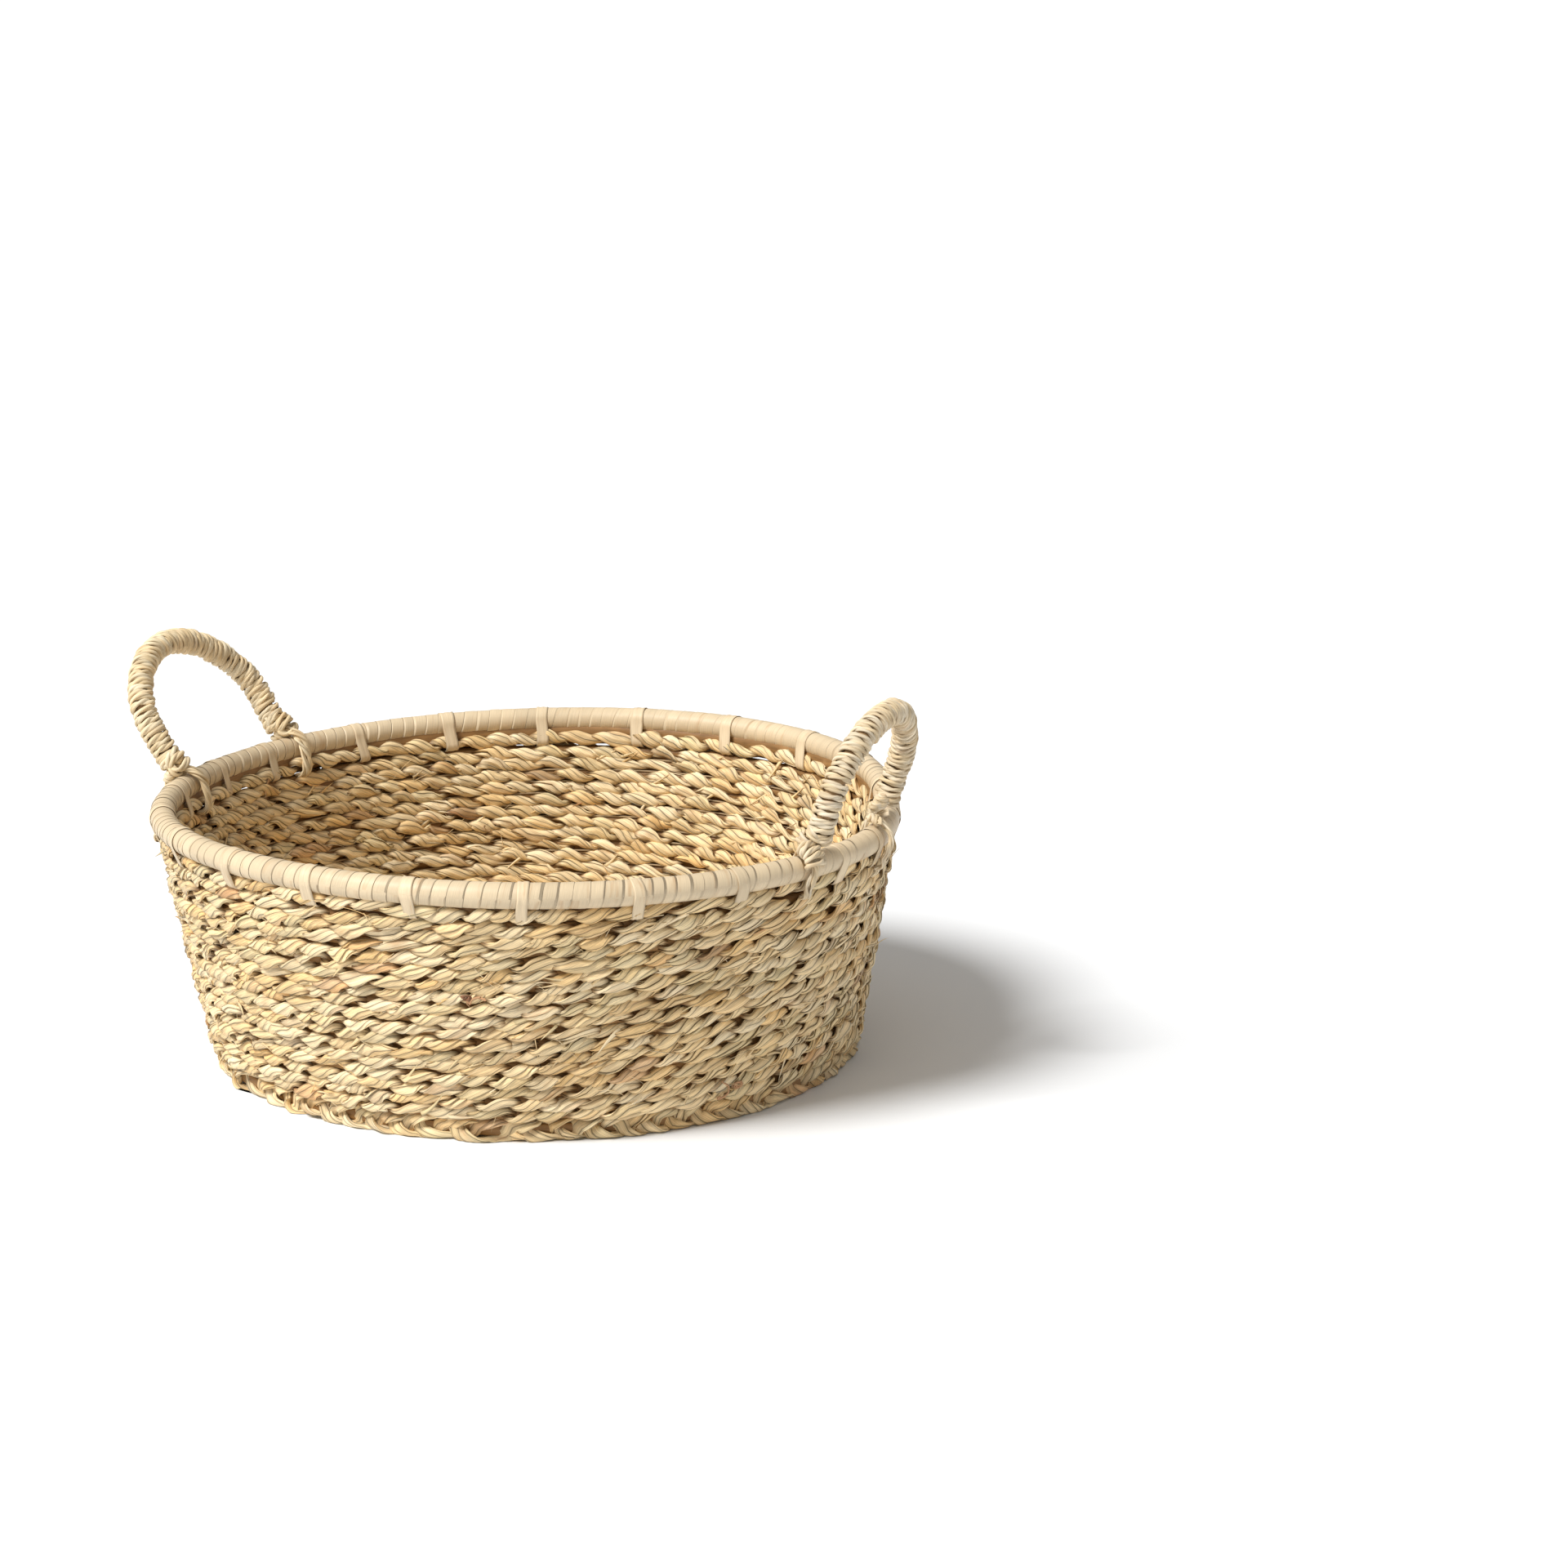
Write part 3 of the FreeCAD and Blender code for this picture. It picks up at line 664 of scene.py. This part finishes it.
def rim_wrap():
    """One strip wound helically round the hoop, each turn lapping over the last."""
    rng = np.random.default_rng(11)
    per_turn = 40
    n = RIM_BANDS * per_turn
    shift = 0.16 * ring_noise(rng, RIM_BANDS, np.arange(n) / n)
    shift += 0.20 * ring_noise(rng, RIM_BANDS // 3, np.arange(n) / n)
    seam = np.arange(n) / per_turn + shift
    following = np.roll(seam, -per_turn)
    following[-per_turn:] += RIM_BANDS
    top = np.array([1.0, 0.95, 0.66, 0.32, 0.05, 0.0])
    share = np.concatenate([top, [0.0, 1.0]])
    crown = 0.08 * MM
    angle = TAU * (seam[:, None] * (1 - share) + following[:, None] * share) / RIM_BANDS
    psi = TAU * np.arange(n)[:, None] / per_turn
    band = np.arange(n) // per_turn
    lap = (rng.uniform(0.01, 0.26, RIM_BANDS) * MM)[band][:, None]
    outer = -0.30 * MM + lap * top + crown * 4 * top * (1 - top)
    under = np.broadcast_to([-0.8 * MM, -0.1 * MM], (n, 2))
    rise = np.concatenate([outer, under], axis=1)
    lift = rng.normal(0, 0.05 * MM, RIM_BANDS)[band][:, None]
    r = RIM_TUBE + rise + lift * (share > 0.05)
    away = RIM_RADIUS + r * np.cos(psi)
    grid = np.stack([away * np.cos(angle), away * np.sin(angle), RIM_Z + r * np.sin(psi)], -1)
    tone = rng.normal(1, 0.045, RIM_BANDS + 1)
    blend_in = (np.arange(n) % per_turn / per_turn)[:, None]
    tone = (tone[band][:, None] * (1 - blend_in) + tone[band + 1][:, None] * blend_in)[..., None]
    # Painted shade in the seam where each band tucks under the next, stronger at some seams than others.
    depth = rng.uniform(0.0, 0.75, RIM_BANDS)[band]
    painted_seam_shade = 1 - depth * (0.6 + 0.4 * ring_noise(rng, 3 * RIM_BANDS, np.arange(n) / n))
    seam_shade_across_band = np.ones((n, len(share), 1))
    seam_shade_across_band[:, 5, 0] = painted_seam_shade
    tint = CREAM * tone * seam_shade_across_band
    fibre = np.stack(np.broadcast_arrays(
        psi * RIM_TUBE, share[None, :] * 8 * MM, band[:, None] * 0.03
    ), -1)
    tubes = Tubes()
    tubes.add(grid, tint, fibre, closed=True)
    piece = tubes.build("rim_wrap_strip", STRIP)
    finish_piece(piece, "basket", "rim_strip", "rim_wrap")


def belt_path(pulleys, count):
    """A closed belt round circles (x, z, radius), evenly stepped, counter-clockwise."""
    phi = np.linspace(0, TAU, 720, endpoint=False)
    facing = np.stack([np.cos(phi), np.sin(phi)], 1)
    circles = np.array(pulleys)
    reach = facing @ circles[:, :2].T + circles[:, 2]
    chosen = circles[np.argmax(reach, axis=1)]
    points = chosen[:, :2] + facing * chosen[:, 2:]
    return even_steps(points, count, closed=True)


def even_steps(points, count, closed=False):
    loop = np.concatenate([points, points[:1]]) if closed else points
    run = np.concatenate([[0], np.cumsum(np.linalg.norm(np.diff(loop, axis=0), axis=1))])
    keep = np.concatenate([[True], np.diff(run) > 1e-9])
    wanted = np.linspace(0, run[-1], count, endpoint=not closed)
    return np.stack([np.interp(wanted, run[keep], loop[keep, k]) for k in range(points.shape[1])], 1)


top_radius, top_low, top_high = course_box(COURSES)
COURSE_HALF = (top_high - top_low) / 2
FLAT = PLAIT_WIDTH / 2 - COURSE_HALF


def strip_angles():
    """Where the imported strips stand, read from their own vertices."""
    node = frame["nodes"]["rim_lashing_strips"]
    co = np.empty(len(node.data.vertices) * 3, np.float32)
    node.data.vertices.foreach_get("co", co)
    co = co.reshape(-1, 3)
    upper = co[co[:, 2] > RIM_Z + RIM_TUBE * 0.9]
    angle = np.sort(np.arctan2(upper[:, 1], upper[:, 0]))
    groups = np.split(angle, np.nonzero(np.diff(angle) > math.radians(3))[0] + 1)
    return [float(group.mean()) for group in groups]


def lashing_strips():
    rng = np.random.default_rng(12)
    tubes = Tubes()
    count = 96
    columns = 7
    edges = [0, columns - 1]
    spread = 0.20 * MM
    across = np.linspace(0.5, -0.5, columns)
    share = np.concatenate([across, across[::-1]])
    thick = np.concatenate([np.full(columns, 0.45 * MM), np.full(columns, -0.05 * MM)])
    thick[edges] -= 0.15 * MM
    for angle in strip_angles():
        path = belt_path([
            (top_radius - FLAT, (top_low + top_high) / 2, COURSE_HALF + spread),
            (top_radius + FLAT, (top_low + top_high) / 2, COURSE_HALF + spread),
            (RIM_RADIUS, RIM_Z, RIM_TUBE + spread),
        ], count)
        centre = path.mean(axis=0)
        ahead = np.roll(path, -1, axis=0) - np.roll(path, 1, axis=0)
        ahead /= np.linalg.norm(ahead, axis=1, keepdims=True)
        outward = np.stack([ahead[:, 1], -ahead[:, 0]], 1)
        # The strip slants: it leaves the top one way outside the basket and the other inside.
        fall = np.clip((RIM_Z - path[:, 1]) / (RIM_Z - top_low), 0, 1)
        side = (path[:, 0] - centre[0]) / (0.5 * PLAIT_WIDTH)
        slant = rng.normal(0.6, 1.3) * MM
        turn = np.arange(count) / count
        narrow, broad = sorted(rng.uniform(5.0, 9.0, 2) * MM)
        outside = smooth(0.5 + side)
        width = narrow + (broad - narrow) * outside * (0.4 + 0.6 * fall)
        width *= 1 + 0.06 * ring_noise(rng, 5, turn)
        wobble = 0.5 * MM * ring_noise(rng, 6, turn)
        slim = 0.15 + 0.85 * smooth(fall * 1.6)
        crease = 0.14 * MM * np.cos(TAU * (share * rng.uniform(1.4, 2.4) + rng.uniform(0, 1)))
        sideways = share * width[:, None] + (slant * fall * side + wobble)[:, None]
        height = thick * slim[:, None] + crease + 0.25 * MM * ring_noise(rng, 7, turn)[:, None] * share
        r = path[:, :1] + outward[:, :1] * height
        z = path[:, 1:] + outward[:, 1:] * height
        azimuth = angle + sideways / r
        grid = np.stack([r * np.cos(azimuth), r * np.sin(azimuth), z], -1)
        # Painted shade along the strip's two edges, fading where the strip thins over the rim.
        edge = np.zeros(2 * columns)
        edge[edges] = 0.32
        tint = CREAM * rng.normal(1.08, 0.05) * (1 - edge * slim[:, None])[..., None]
        run = np.arange(count)[:, None] * 0.8 * MM
        fibre = np.stack(np.broadcast_arrays(run, share[None] * 9 * MM, rng.uniform(0, 3)), -1)
        tubes.add(grid, tint, fibre, closed=True)
    finish_piece(tubes.build("rim_lashing_bands", STRIP), "basket", "rim_strip", "rim_lashing_strips")


def ring_tube(tubes, radius, z, tube, count, sides, tint):
    """A plain closed ring with a round section."""
    turn = np.arange(count) / count
    angle = TAU * turn[:, None]
    a = -TAU * np.arange(sides)[None] / sides
    r = radius + tube * np.cos(a)
    grid = np.stack(np.broadcast_arrays(r * np.cos(angle), r * np.sin(angle), z + tube * np.sin(a)), -1)
    fibre = np.stack(np.broadcast_arrays(angle * radius, tube * np.cos(a), tube * np.sin(a)), -1)
    tubes.add(grid, tint, fibre, closed=True)


def thread_rings():
    """The sewing thread, hidden between the courses."""
    tubes = Tubes()
    for seam in range(1, COURSES - 1):
        radius = (course_box(seam)[0] + course_box(seam + 1)[0]) / 2 - THREAD_INSET
        ring_tube(tubes, radius, course_box(seam)[2], THREAD_RADIUS, 480, 6, DARK_THREAD)
    finish_piece(tubes.build("seam_stitches", THREAD), "basket", "seam_thread", "seam_thread")


rim_wrap()
lashing_strips()
thread_rings()
tubes = Tubes()
hoop_low, hoop_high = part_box("rim_hoop")
ring_tube(tubes, RIM_RADIUS, RIM_Z, (hoop_high[2] - hoop_low[2]) / 2, 360, 20, DARK_CANE)
finish_piece(tubes.build("rim_cane_hoop", CANE), "basket", "cane_core", "rim_hoop")

# --------------------------------------------------------------------------------- handles


def loop_path(side, start, step):
    """A handle's centre line in its own plane as (y, height), foot to foot."""
    loop = LOOPS[side]
    inset, rise = loop["half_width"] - loop["shoulder"], loop["top"] - loop["widest"]
    crown = (inset**2 + rise**2 - loop["shoulder"]**2) / (2 * (rise - loop["shoulder"]))
    slack = loop["half_width"] - loop["foot"] - loop["widest"] * math.tan(FOOT_SPLAY)
    waist = slack / (1 - 1 / math.cos(FOOT_SPLAY))
    meet = math.atan2(loop["widest"] - (loop["top"] - crown), inset)

    def bend(y, z, radius, first, last):
        a = np.linspace(first, last, 200)[1:, None]
        return np.hstack([y + radius * np.cos(a), z + radius * np.sin(a)])

    foot = [[loop["foot"] + start * math.sin(FOOT_SPLAY), start * math.cos(FOOT_SPLAY)]]
    half = np.concatenate([
        foot,
        bend(loop["half_width"] - waist, loop["widest"], waist, -FOOT_SPLAY, 0),
        bend(inset, loop["widest"], loop["shoulder"], 0, meet),
        bend(0, loop["top"] - crown, crown, meet, math.pi / 2),
    ])
    whole = np.concatenate([half, (half * [-1, 1])[-2::-1]])[::-1]
    whole[:, 0] += loop["shift"] + loop["skew"] * whole[:, 1]
    length = np.sum(np.linalg.norm(np.diff(whole, axis=0), axis=1))
    return even_steps(whole, int(length / step))


def stand_up(points, side):
    """From a handle's own frame (x outwards, y, z up the loop) to the basket's."""
    lean = Matrix.Rotation(LOOPS[side]["lean"], 3, "Y")
    pivot = np.array(HINGE[side]["pos_m"])
    return points @ np.array(lean).T + pivot


def twisted_cord(tubes, rng, centre, facing, size, twist, tones, flat=1.0, closed=False):
    """A cord of two twisted plies along a path; facing is any direction across the path."""
    n = len(centre)
    along = tangents(centre, closed)
    out = normalise(facing - along * np.sum(facing * along, 1)[:, None])
    wide = np.cross(along, out)
    run = np.concatenate([[0], np.cumsum(np.linalg.norm(np.diff(centre, axis=0), axis=1))])
    turn = run / run[-1]
    cells = max(4, int(run[-1] / (11 * MM)))
    loose = rng.uniform(-1.4, 1.4, cells + 1)
    phase = TAU * run / twist + np.interp(turn * cells, np.arange(cells + 1), loose)
    lobe = np.array([0.0, 0.28, 0.55, 0.80, 1.0, 1.20, 1.45, 1.72])
    a = np.concatenate([lobe, lobe + 2]) * math.pi / 2
    gap, ply = 0.46, 0.66
    shape = gap * np.abs(np.cos(a)) + np.sqrt(ply**2 - (gap * np.sin(a)) ** 2)
    shape /= gap + ply
    knots = max(8, int(run[-1] / (6 * MM)))
    spots = np.clip(turn * (knots - 1), 0, knots - 1)
    swell = 1 + np.interp(spots, np.arange(knots), rng.uniform(-0.20, 0.17, knots))
    r = size / 2 * swell[:, None] * shape[None]
    b = a[None] + phase[:, None]
    spread = math.sqrt(flat)
    grid = (
        centre[:, None]
        + wide[:, None] * (r * np.cos(b))[..., None] / spread
        + out[:, None] * (r * np.sin(b))[..., None] * spread
    )
    picked = tones[rng.integers(0, len(tones), knots)] * rng.uniform(0.93, 1.07, (knots, 1))
    shift = np.stack([np.interp(spots, np.arange(knots), picked[:, k]) for k in range(3)], -1)
    # Painted shade in the groove between the two plies.
    crease = (0.86 + 0.14 * (shape / shape.max()) ** 2)[None, :, None]
    ply_tone = 1 + 0.08 * np.cos(a)[None, :, None]
    tint = shift[:, None] * crease * ply_tone
    offset = rng.uniform(0, 4)
    fibre = np.stack(np.broadcast_arrays(
        run[:, None] + offset, (size / 2 * np.cos(a))[None], (size / 2 * np.sin(a))[None] + offset
    ), -1)
    tubes.add(grid, tint, fibre, closed)


# Neighbouring turns press into each other, so the cord is a little thicker than its pitch.
CORD_PACKING = 1.09
CORD_TWIST, TIE_TWIST = 23 * MM, 26 * MM
CORD_TONES = {
    "left_handle": np.array([
        [0.86, 0.710, 0.475], [0.83, 0.655, 0.410], [0.88, 0.755, 0.535], [0.77, 0.600, 0.360],
    ]),
    "right_handle": np.array([
        [0.80, 0.670, 0.480], [0.77, 0.625, 0.415], [0.82, 0.710, 0.535], [0.73, 0.580, 0.370],
    ]),
}


def smooth_path(points, step):
    """A soft curve through a few points."""
    points = np.array(points)
    padded = np.concatenate([2 * points[:1] - points[1:2], points, 2 * points[-1:] - points[-2:-1]])
    pieces = []
    for k in range(1, len(padded) - 2):
        p0, p1, p2, p3 = padded[k - 1:k + 3]
        t = np.linspace(0, 1, 40, endpoint=False)[:, None]
        pieces.append(0.5 * (
            2 * p1 + (p2 - p0) * t + (2 * p0 - 5 * p1 + 4 * p2 - p3) * t**2
            + (3 * p1 - p0 - 3 * p2 + p3) * t**3
        ))
    curve = np.concatenate(pieces + [points[-1:]])
    length = np.sum(np.linalg.norm(np.diff(curve, axis=0), axis=1))
    return even_steps(curve, max(8, int(length / step)))


class Foot:
    """Directions at one foot of a handle: the rim's centre there, outwards, and along the rim."""

    def __init__(self, side, end):
        loop = LOOPS[side]
        sign = ENDS[end]
        self.drift, self.land, self.last = loop["drift"][end], loop["land"][end], loop["end"][end]
        self.wide, self.deep = loop["bundle"][end]
        self.facing = math.copysign(1, HINGE[side]["pos_m"][0])
        y = sign * loop["lashing"] + loop["shift"]
        x = self.facing * math.sqrt(RIM_RADIUS**2 - y**2)
        self.centre = np.array([x, y, RIM_Z])
        self.out = np.array([x, y, 0]) / RIM_RADIUS
        self.up = np.array([0, 0, 1.0])
        self.along = np.cross(self.up, self.out) * self.facing

    def at(self, reach, degrees, along=0.0):
        """A point round the rim: degrees up from straight outwards."""
        a = math.radians(degrees)
        point = self.centre + self.out * reach * math.cos(a) + self.up * reach * math.sin(a)
        return point + self.along * along


def leg_path(side):
    """The wound leg's centre line, its width direction and its half sizes, foot to foot.
    Past the loop's own end it flattens and lies over the rim's outer side."""
    flat_path = loop_path(side, LOOPS[side]["start"], 0.5 * MM)
    n = len(flat_path)
    heading = normalise(np.gradient(flat_path, axis=0))
    middle = stand_up(np.stack([np.zeros(n), flat_path[:, 0], flat_path[:, 1]], 1), side)
    inward = np.stack([np.zeros(n), -heading[:, 1], heading[:, 0]], 1)
    inward = stand_up(inward, side) - np.array(HINGE[side]["pos_m"])
    full = HANDLE_TUBE - LOOPS[side]["pitch"] / 2
    reach = np.full((n, 2), full)
    for end, sign in ENDS.items():
        near = smooth(1.5 - flat_path[:, 1] / (38 * MM)) * (flat_path[:, 0] * sign > 0)
        middle += Foot(side, end).out * (LOOPS[side]["pull"][end] * near)[:, None]
    ends = []
    for end, last, before in (("front", middle[0], middle[8]), ("rear", middle[-1], middle[-9])):
        foot = Foot(side, end)
        curve = smooth_path([
            before, last, foot.at(12.4 * MM, foot.land, 0.7 * foot.drift),
            foot.at(RIM_TUBE + foot.deep + 1.5 * MM, (foot.land + foot.last) / 2, 0.9 * foot.drift),
            foot.at(RIM_TUBE + foot.deep + 0.9 * MM, foot.last, foot.drift),
        ], 0.5 * MM)
        curve = curve[np.argmin(np.linalg.norm(curve - last, axis=1)) + 1:]
        share = smooth(np.linspace(-0.3, 1.3, len(curve)))[:, None]
        side_way = inward[0] if end == "front" else inward[-1]
        goal = foot.along * math.copysign(1, np.dot(side_way, foot.along))
        width = side_way * (1 - share) + goal * share
        halves = full * (1 - share) + np.array([foot.wide, foot.deep]) * share
        ends.append((curve, width, halves))
    (c0, w0, h0), (c1, w1, h1) = ends
    path = np.concatenate([c0[::-1], middle, c1])
    width = np.concatenate([w0[::-1], inward, w1])
    halves = np.concatenate([h0[::-1], reach, h1])
    return path, normalise(width), halves


def wound_cord(side, rng):
    """The cord wound closely round the loop from foot to foot."""
    loop = LOOPS[side]
    path, width, halves = leg_path(side)
    run = np.concatenate([[0], np.cumsum(np.linalg.norm(np.diff(path, axis=0), axis=1))])
    turns = int(run[-1] / loop["pitch"])
    per_turn = 40
    t = np.linspace(0, turns, turns * per_turn)
    cells = np.arange(2 * turns + 3)
    wander = 0.30 * np.interp(t * 2, cells, rng.uniform(-1, 1, len(cells)))
    share = np.clip((t + wander) / turns, 0, 1) * run[-1]

    def at(values):
        return np.stack([np.interp(share, run, values[:, k]) for k in range(values.shape[1])], 1)

    middle, across, half = at(path), at(width), at(halves)
    ahead = tangents(path, False)
    depth = np.cross(at(ahead), across)
    psi = TAU * t
    bump = 1 + 0.045 * np.interp(t * 2, cells, rng.uniform(-1, 1, len(cells)))
    offset = (
        across * (np.cos(psi) * half[:, 0] * bump)[:, None]
        + depth * (np.sin(psi) * half[:, 1] * bump)[:, None]
    )
    facing = (
        across * (np.cos(psi) * half[:, 1])[:, None] + depth * (np.sin(psi) * half[:, 0])[:, None]
    )
    tubes = Tubes()
    size = loop["pitch"] * CORD_PACKING
    tones = CORD_TONES[side]
    twisted_cord(tubes, rng, middle + offset, facing, size, CORD_TWIST, tones, loop["flat"])
    piece = tubes.build(f"{side}_wound_cord", CORD)
    finish_piece(piece, side, "handle_cord",
                 f"{side}_wrap", f"{side}_lashing_front", f"{side}_lashing_rear")


def handle_core(side):
    """The stiff cane inside the winding."""
    radius = HANDLE_TUBE - LOOPS[side]["pitch"] - 0.1 * MM
    step = 2 * MM
    sides = 14
    path = loop_path(side, 16 * MM, step)
    n = len(path)
    heading = normalise(np.gradient(path, axis=0))
    a = TAU * np.arange(sides) / sides
    inward = np.stack([np.zeros(n), -heading[:, 1], heading[:, 0]], 1)
    points = np.stack([np.zeros(n), path[:, 0], path[:, 1]], 1)
    outwards = np.array([1.0, 0.0, 0.0])
    grid = points[:, None] + radius * (
        np.cos(a)[None, :, None] * inward[:, None] + np.sin(a)[None, :, None] * outwards
    )
    grid = stand_up(grid.reshape(-1, 3), side).reshape(n, sides, 3)
    fibre = np.stack(np.broadcast_arrays(
        np.arange(n)[:, None] * step, radius * np.cos(a)[None], radius * np.sin(a)[None]
    ), -1)
    tubes = Tubes()
    tubes.add(grid, DARK_CANE, fibre)
    finish_piece(tubes.build(f"{side}_cane", CANE), side, "cane_core", f"{side}_core")


def twisted_strands(tubes, rng, path, facing, strands, spread, size, turns, tones, start=0.0):
    """Loose strands that twist round each other along a path."""
    n = len(path)
    along = tangents(path, False)
    out = normalise(facing - along * np.sum(facing * along, 1)[:, None])
    wide = np.cross(along, out)
    t = np.linspace(0, 1, n)
    pinch = 0.55 + 0.45 * np.sin(np.pi * np.clip(t * 1.15, 0, 1))
    for index in range(strands):
        a = start + TAU * (turns * t + index / strands) + 0.3 * np.interp(
            t * 5, np.arange(6), rng.uniform(-1, 1, 6))
        own = (
            path + wide * (spread * pinch * np.cos(a))[:, None]
            + out * (0.55 * spread * pinch * (1 + np.sin(a)))[:, None]
        )
        twisted_cord(tubes, rng, own, out, size * rng.uniform(0.88, 1.10), TIE_TWIST, tones, 0.72)


def foot_ties(side, end, rng):
    """Strands from a foot over the rim's inner side, and tails outside, to the seam below."""
    foot = Foot(side, end)
    loop = LOOPS[side]
    tones = CORD_TONES[side]
    inner, outer = top_radius - PLAIT_WIDTH / 2, top_radius + PLAIT_WIDTH / 2

    def wall(radius, z, along=0.0):
        return foot.out * radius + foot.up * z + foot.along * along

    tubes = Tubes()
    drift = 0.4 * foot.drift
    path = smooth_path([
        foot.at(12.0 * MM, 66, drift), foot.at(9.6 * MM, 92, drift),
        foot.at(8.9 * MM, 130, drift + 1 * MM), foot.at(9.2 * MM, 172, drift + 1.6 * MM),
        wall(inner - 2.0 * MM, RIM_Z - 9 * MM, drift + 1.2 * MM),
        wall(inner - 1.0 * MM, top_low + 1.0 * MM, drift + 0.4 * MM),
        wall(inner + 3 * MM, top_low - 0.5 * MM, drift),
    ], 0.8 * MM)
    away = path - foot.centre
    away[:, 2] = np.maximum(away[:, 2], 0)
    twisted_strands(tubes, rng, path, away, loop["inner_strands"], loop["inner_spread"],
                    loop["inner_size"], turns=1.1, tones=tones, start=rng.uniform(0, TAU))
    piece = tubes.build(f"{side}_inner_tie_{end}", CORD)
    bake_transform(piece)
    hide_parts(f"{side}_lashing_tails")

    tubes = Tubes()
    path = smooth_path([
        foot.at(9.9 * MM, foot.last + 16, foot.drift), foot.at(9.3 * MM, foot.last - 6, foot.drift),
        foot.at(8.6 * MM, (foot.last - 45) / 2, foot.drift), foot.at(8.8 * MM, -45, foot.drift),
        wall(outer + 1.5 * MM, top_low + 3.6 * MM, foot.drift),
        wall(outer + 0.9 * MM, top_low - 0.4 * MM, foot.drift),
        wall(outer - 3 * MM, top_low - 1.8 * MM, foot.drift),
    ], 0.8 * MM)
    facing = np.broadcast_to(foot.out + 0.2 * foot.up, path.shape)
    twisted_strands(tubes, rng, path, facing, strands=3, spread=0.4 * foot.wide, size=2.6 * MM,
                    turns=0.4, tones=tones, start=rng.uniform(0, TAU))
    piece = tubes.build(f"{side}_outer_tie_{end}", CORD)
    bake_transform(piece)
    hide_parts(f"{side}_lashing_tails")


HANDLE_SEED = 40

for number, side in enumerate(LOOPS):
    rng = np.random.default_rng(HANDLE_SEED + number)
    wound_cord(side, rng)
    handle_core(side)
    for end in ENDS:
        foot_ties(side, end, rng)

# --------------------------------------------------------------------- floor, light, camera


def studio_floor():
    """A wide pale floor just below the basket."""
    mesh = bpy.data.meshes.new("studio_floor")
    half = 30.0
    level = -0.3 * MM
    corners = [(-half, -half, level), (half, -half, level), (half, half, level), (-half, half, level)]
    mesh.from_pydata(corners, [], [(0, 1, 2, 3)])
    floor = bpy.data.objects.new("studio_floor", mesh)
    bpy.context.scene.collection.objects.link(floor)
    material, nodes, links, shader = new_material("studio_white")
    shader.inputs["Base Color"].default_value = (0.85, 0.872, 0.91, 1)
    shader.inputs["Roughness"].default_value = 0.9
    shader.inputs["Specular IOR Level"].default_value = 0.0
    mesh.materials.append(material)


def aim(thing, position, direction):
    thing.location = position
    thing.rotation_mode = "QUATERNION"
    thing.rotation_quaternion = Vector(direction).to_track_quat("-Z", "Y")


def studio_world():
    """Soft warm light from all round, in front of a plain white background."""
    world = bpy.data.worlds.new("studio")
    world.use_nodes = True
    nodes, links = world.node_tree.nodes, world.node_tree.links
    background = nodes["Background"]
    background.inputs["Color"].default_value = (1.0, 0.963, 0.90, 1)
    background.inputs["Strength"].default_value = 0.39
    white = nodes.new("ShaderNodeBackground")
    white.inputs["Color"].default_value = (1.0, 1.0, 1.0, 1)
    rays = nodes.new("ShaderNodeLightPath")
    seen = nodes.new("ShaderNodeMixShader")
    links.new(rays.outputs["Is Camera Ray"], seen.inputs[0])
    links.new(background.outputs[0], seen.inputs[1])
    links.new(white.outputs[0], seen.inputs[2])
    links.new(seen.outputs[0], nodes["World Output"].inputs["Surface"])
    bpy.context.scene.world = world


def key_light(forward):
    """One large soft light, high up on the left and behind the camera."""
    right = forward.cross(Vector((0, 0, 1))).normalized()
    ahead = Vector((forward.x, forward.y, 0)).normalized()
    sun = bpy.data.lights.new("key", "SUN")
    sun.energy = 3.75
    sun.angle = math.radians(24)
    sun.color = (1.0, 0.985, 0.955)
    key = bpy.data.objects.new("key", sun)
    bpy.context.scene.collection.objects.link(key)
    aim(key, (0, 0, 3), right * 0.68 + ahead * 0.47 - Vector((0, 0, 0.97)))


def main_camera(forward):
    camera_data = bpy.data.cameras.new("camera")
    camera_data.lens = 112.5
    camera_data.sensor_width = 36
    camera = bpy.data.objects.new("camera", camera_data)
    bpy.context.scene.collection.objects.link(camera)
    aim(camera, (1.304, -2.256, 0.773), forward)
    bpy.context.scene.camera = camera


VIEW_DIRECTION = Vector((-0.4417, 0.8663, -0.2334)).normalized()
studio_floor()
studio_world()
key_light(VIEW_DIRECTION)
main_camera(VIEW_DIRECTION)
bpy.context.scene.view_settings.view_transform = "Standard"
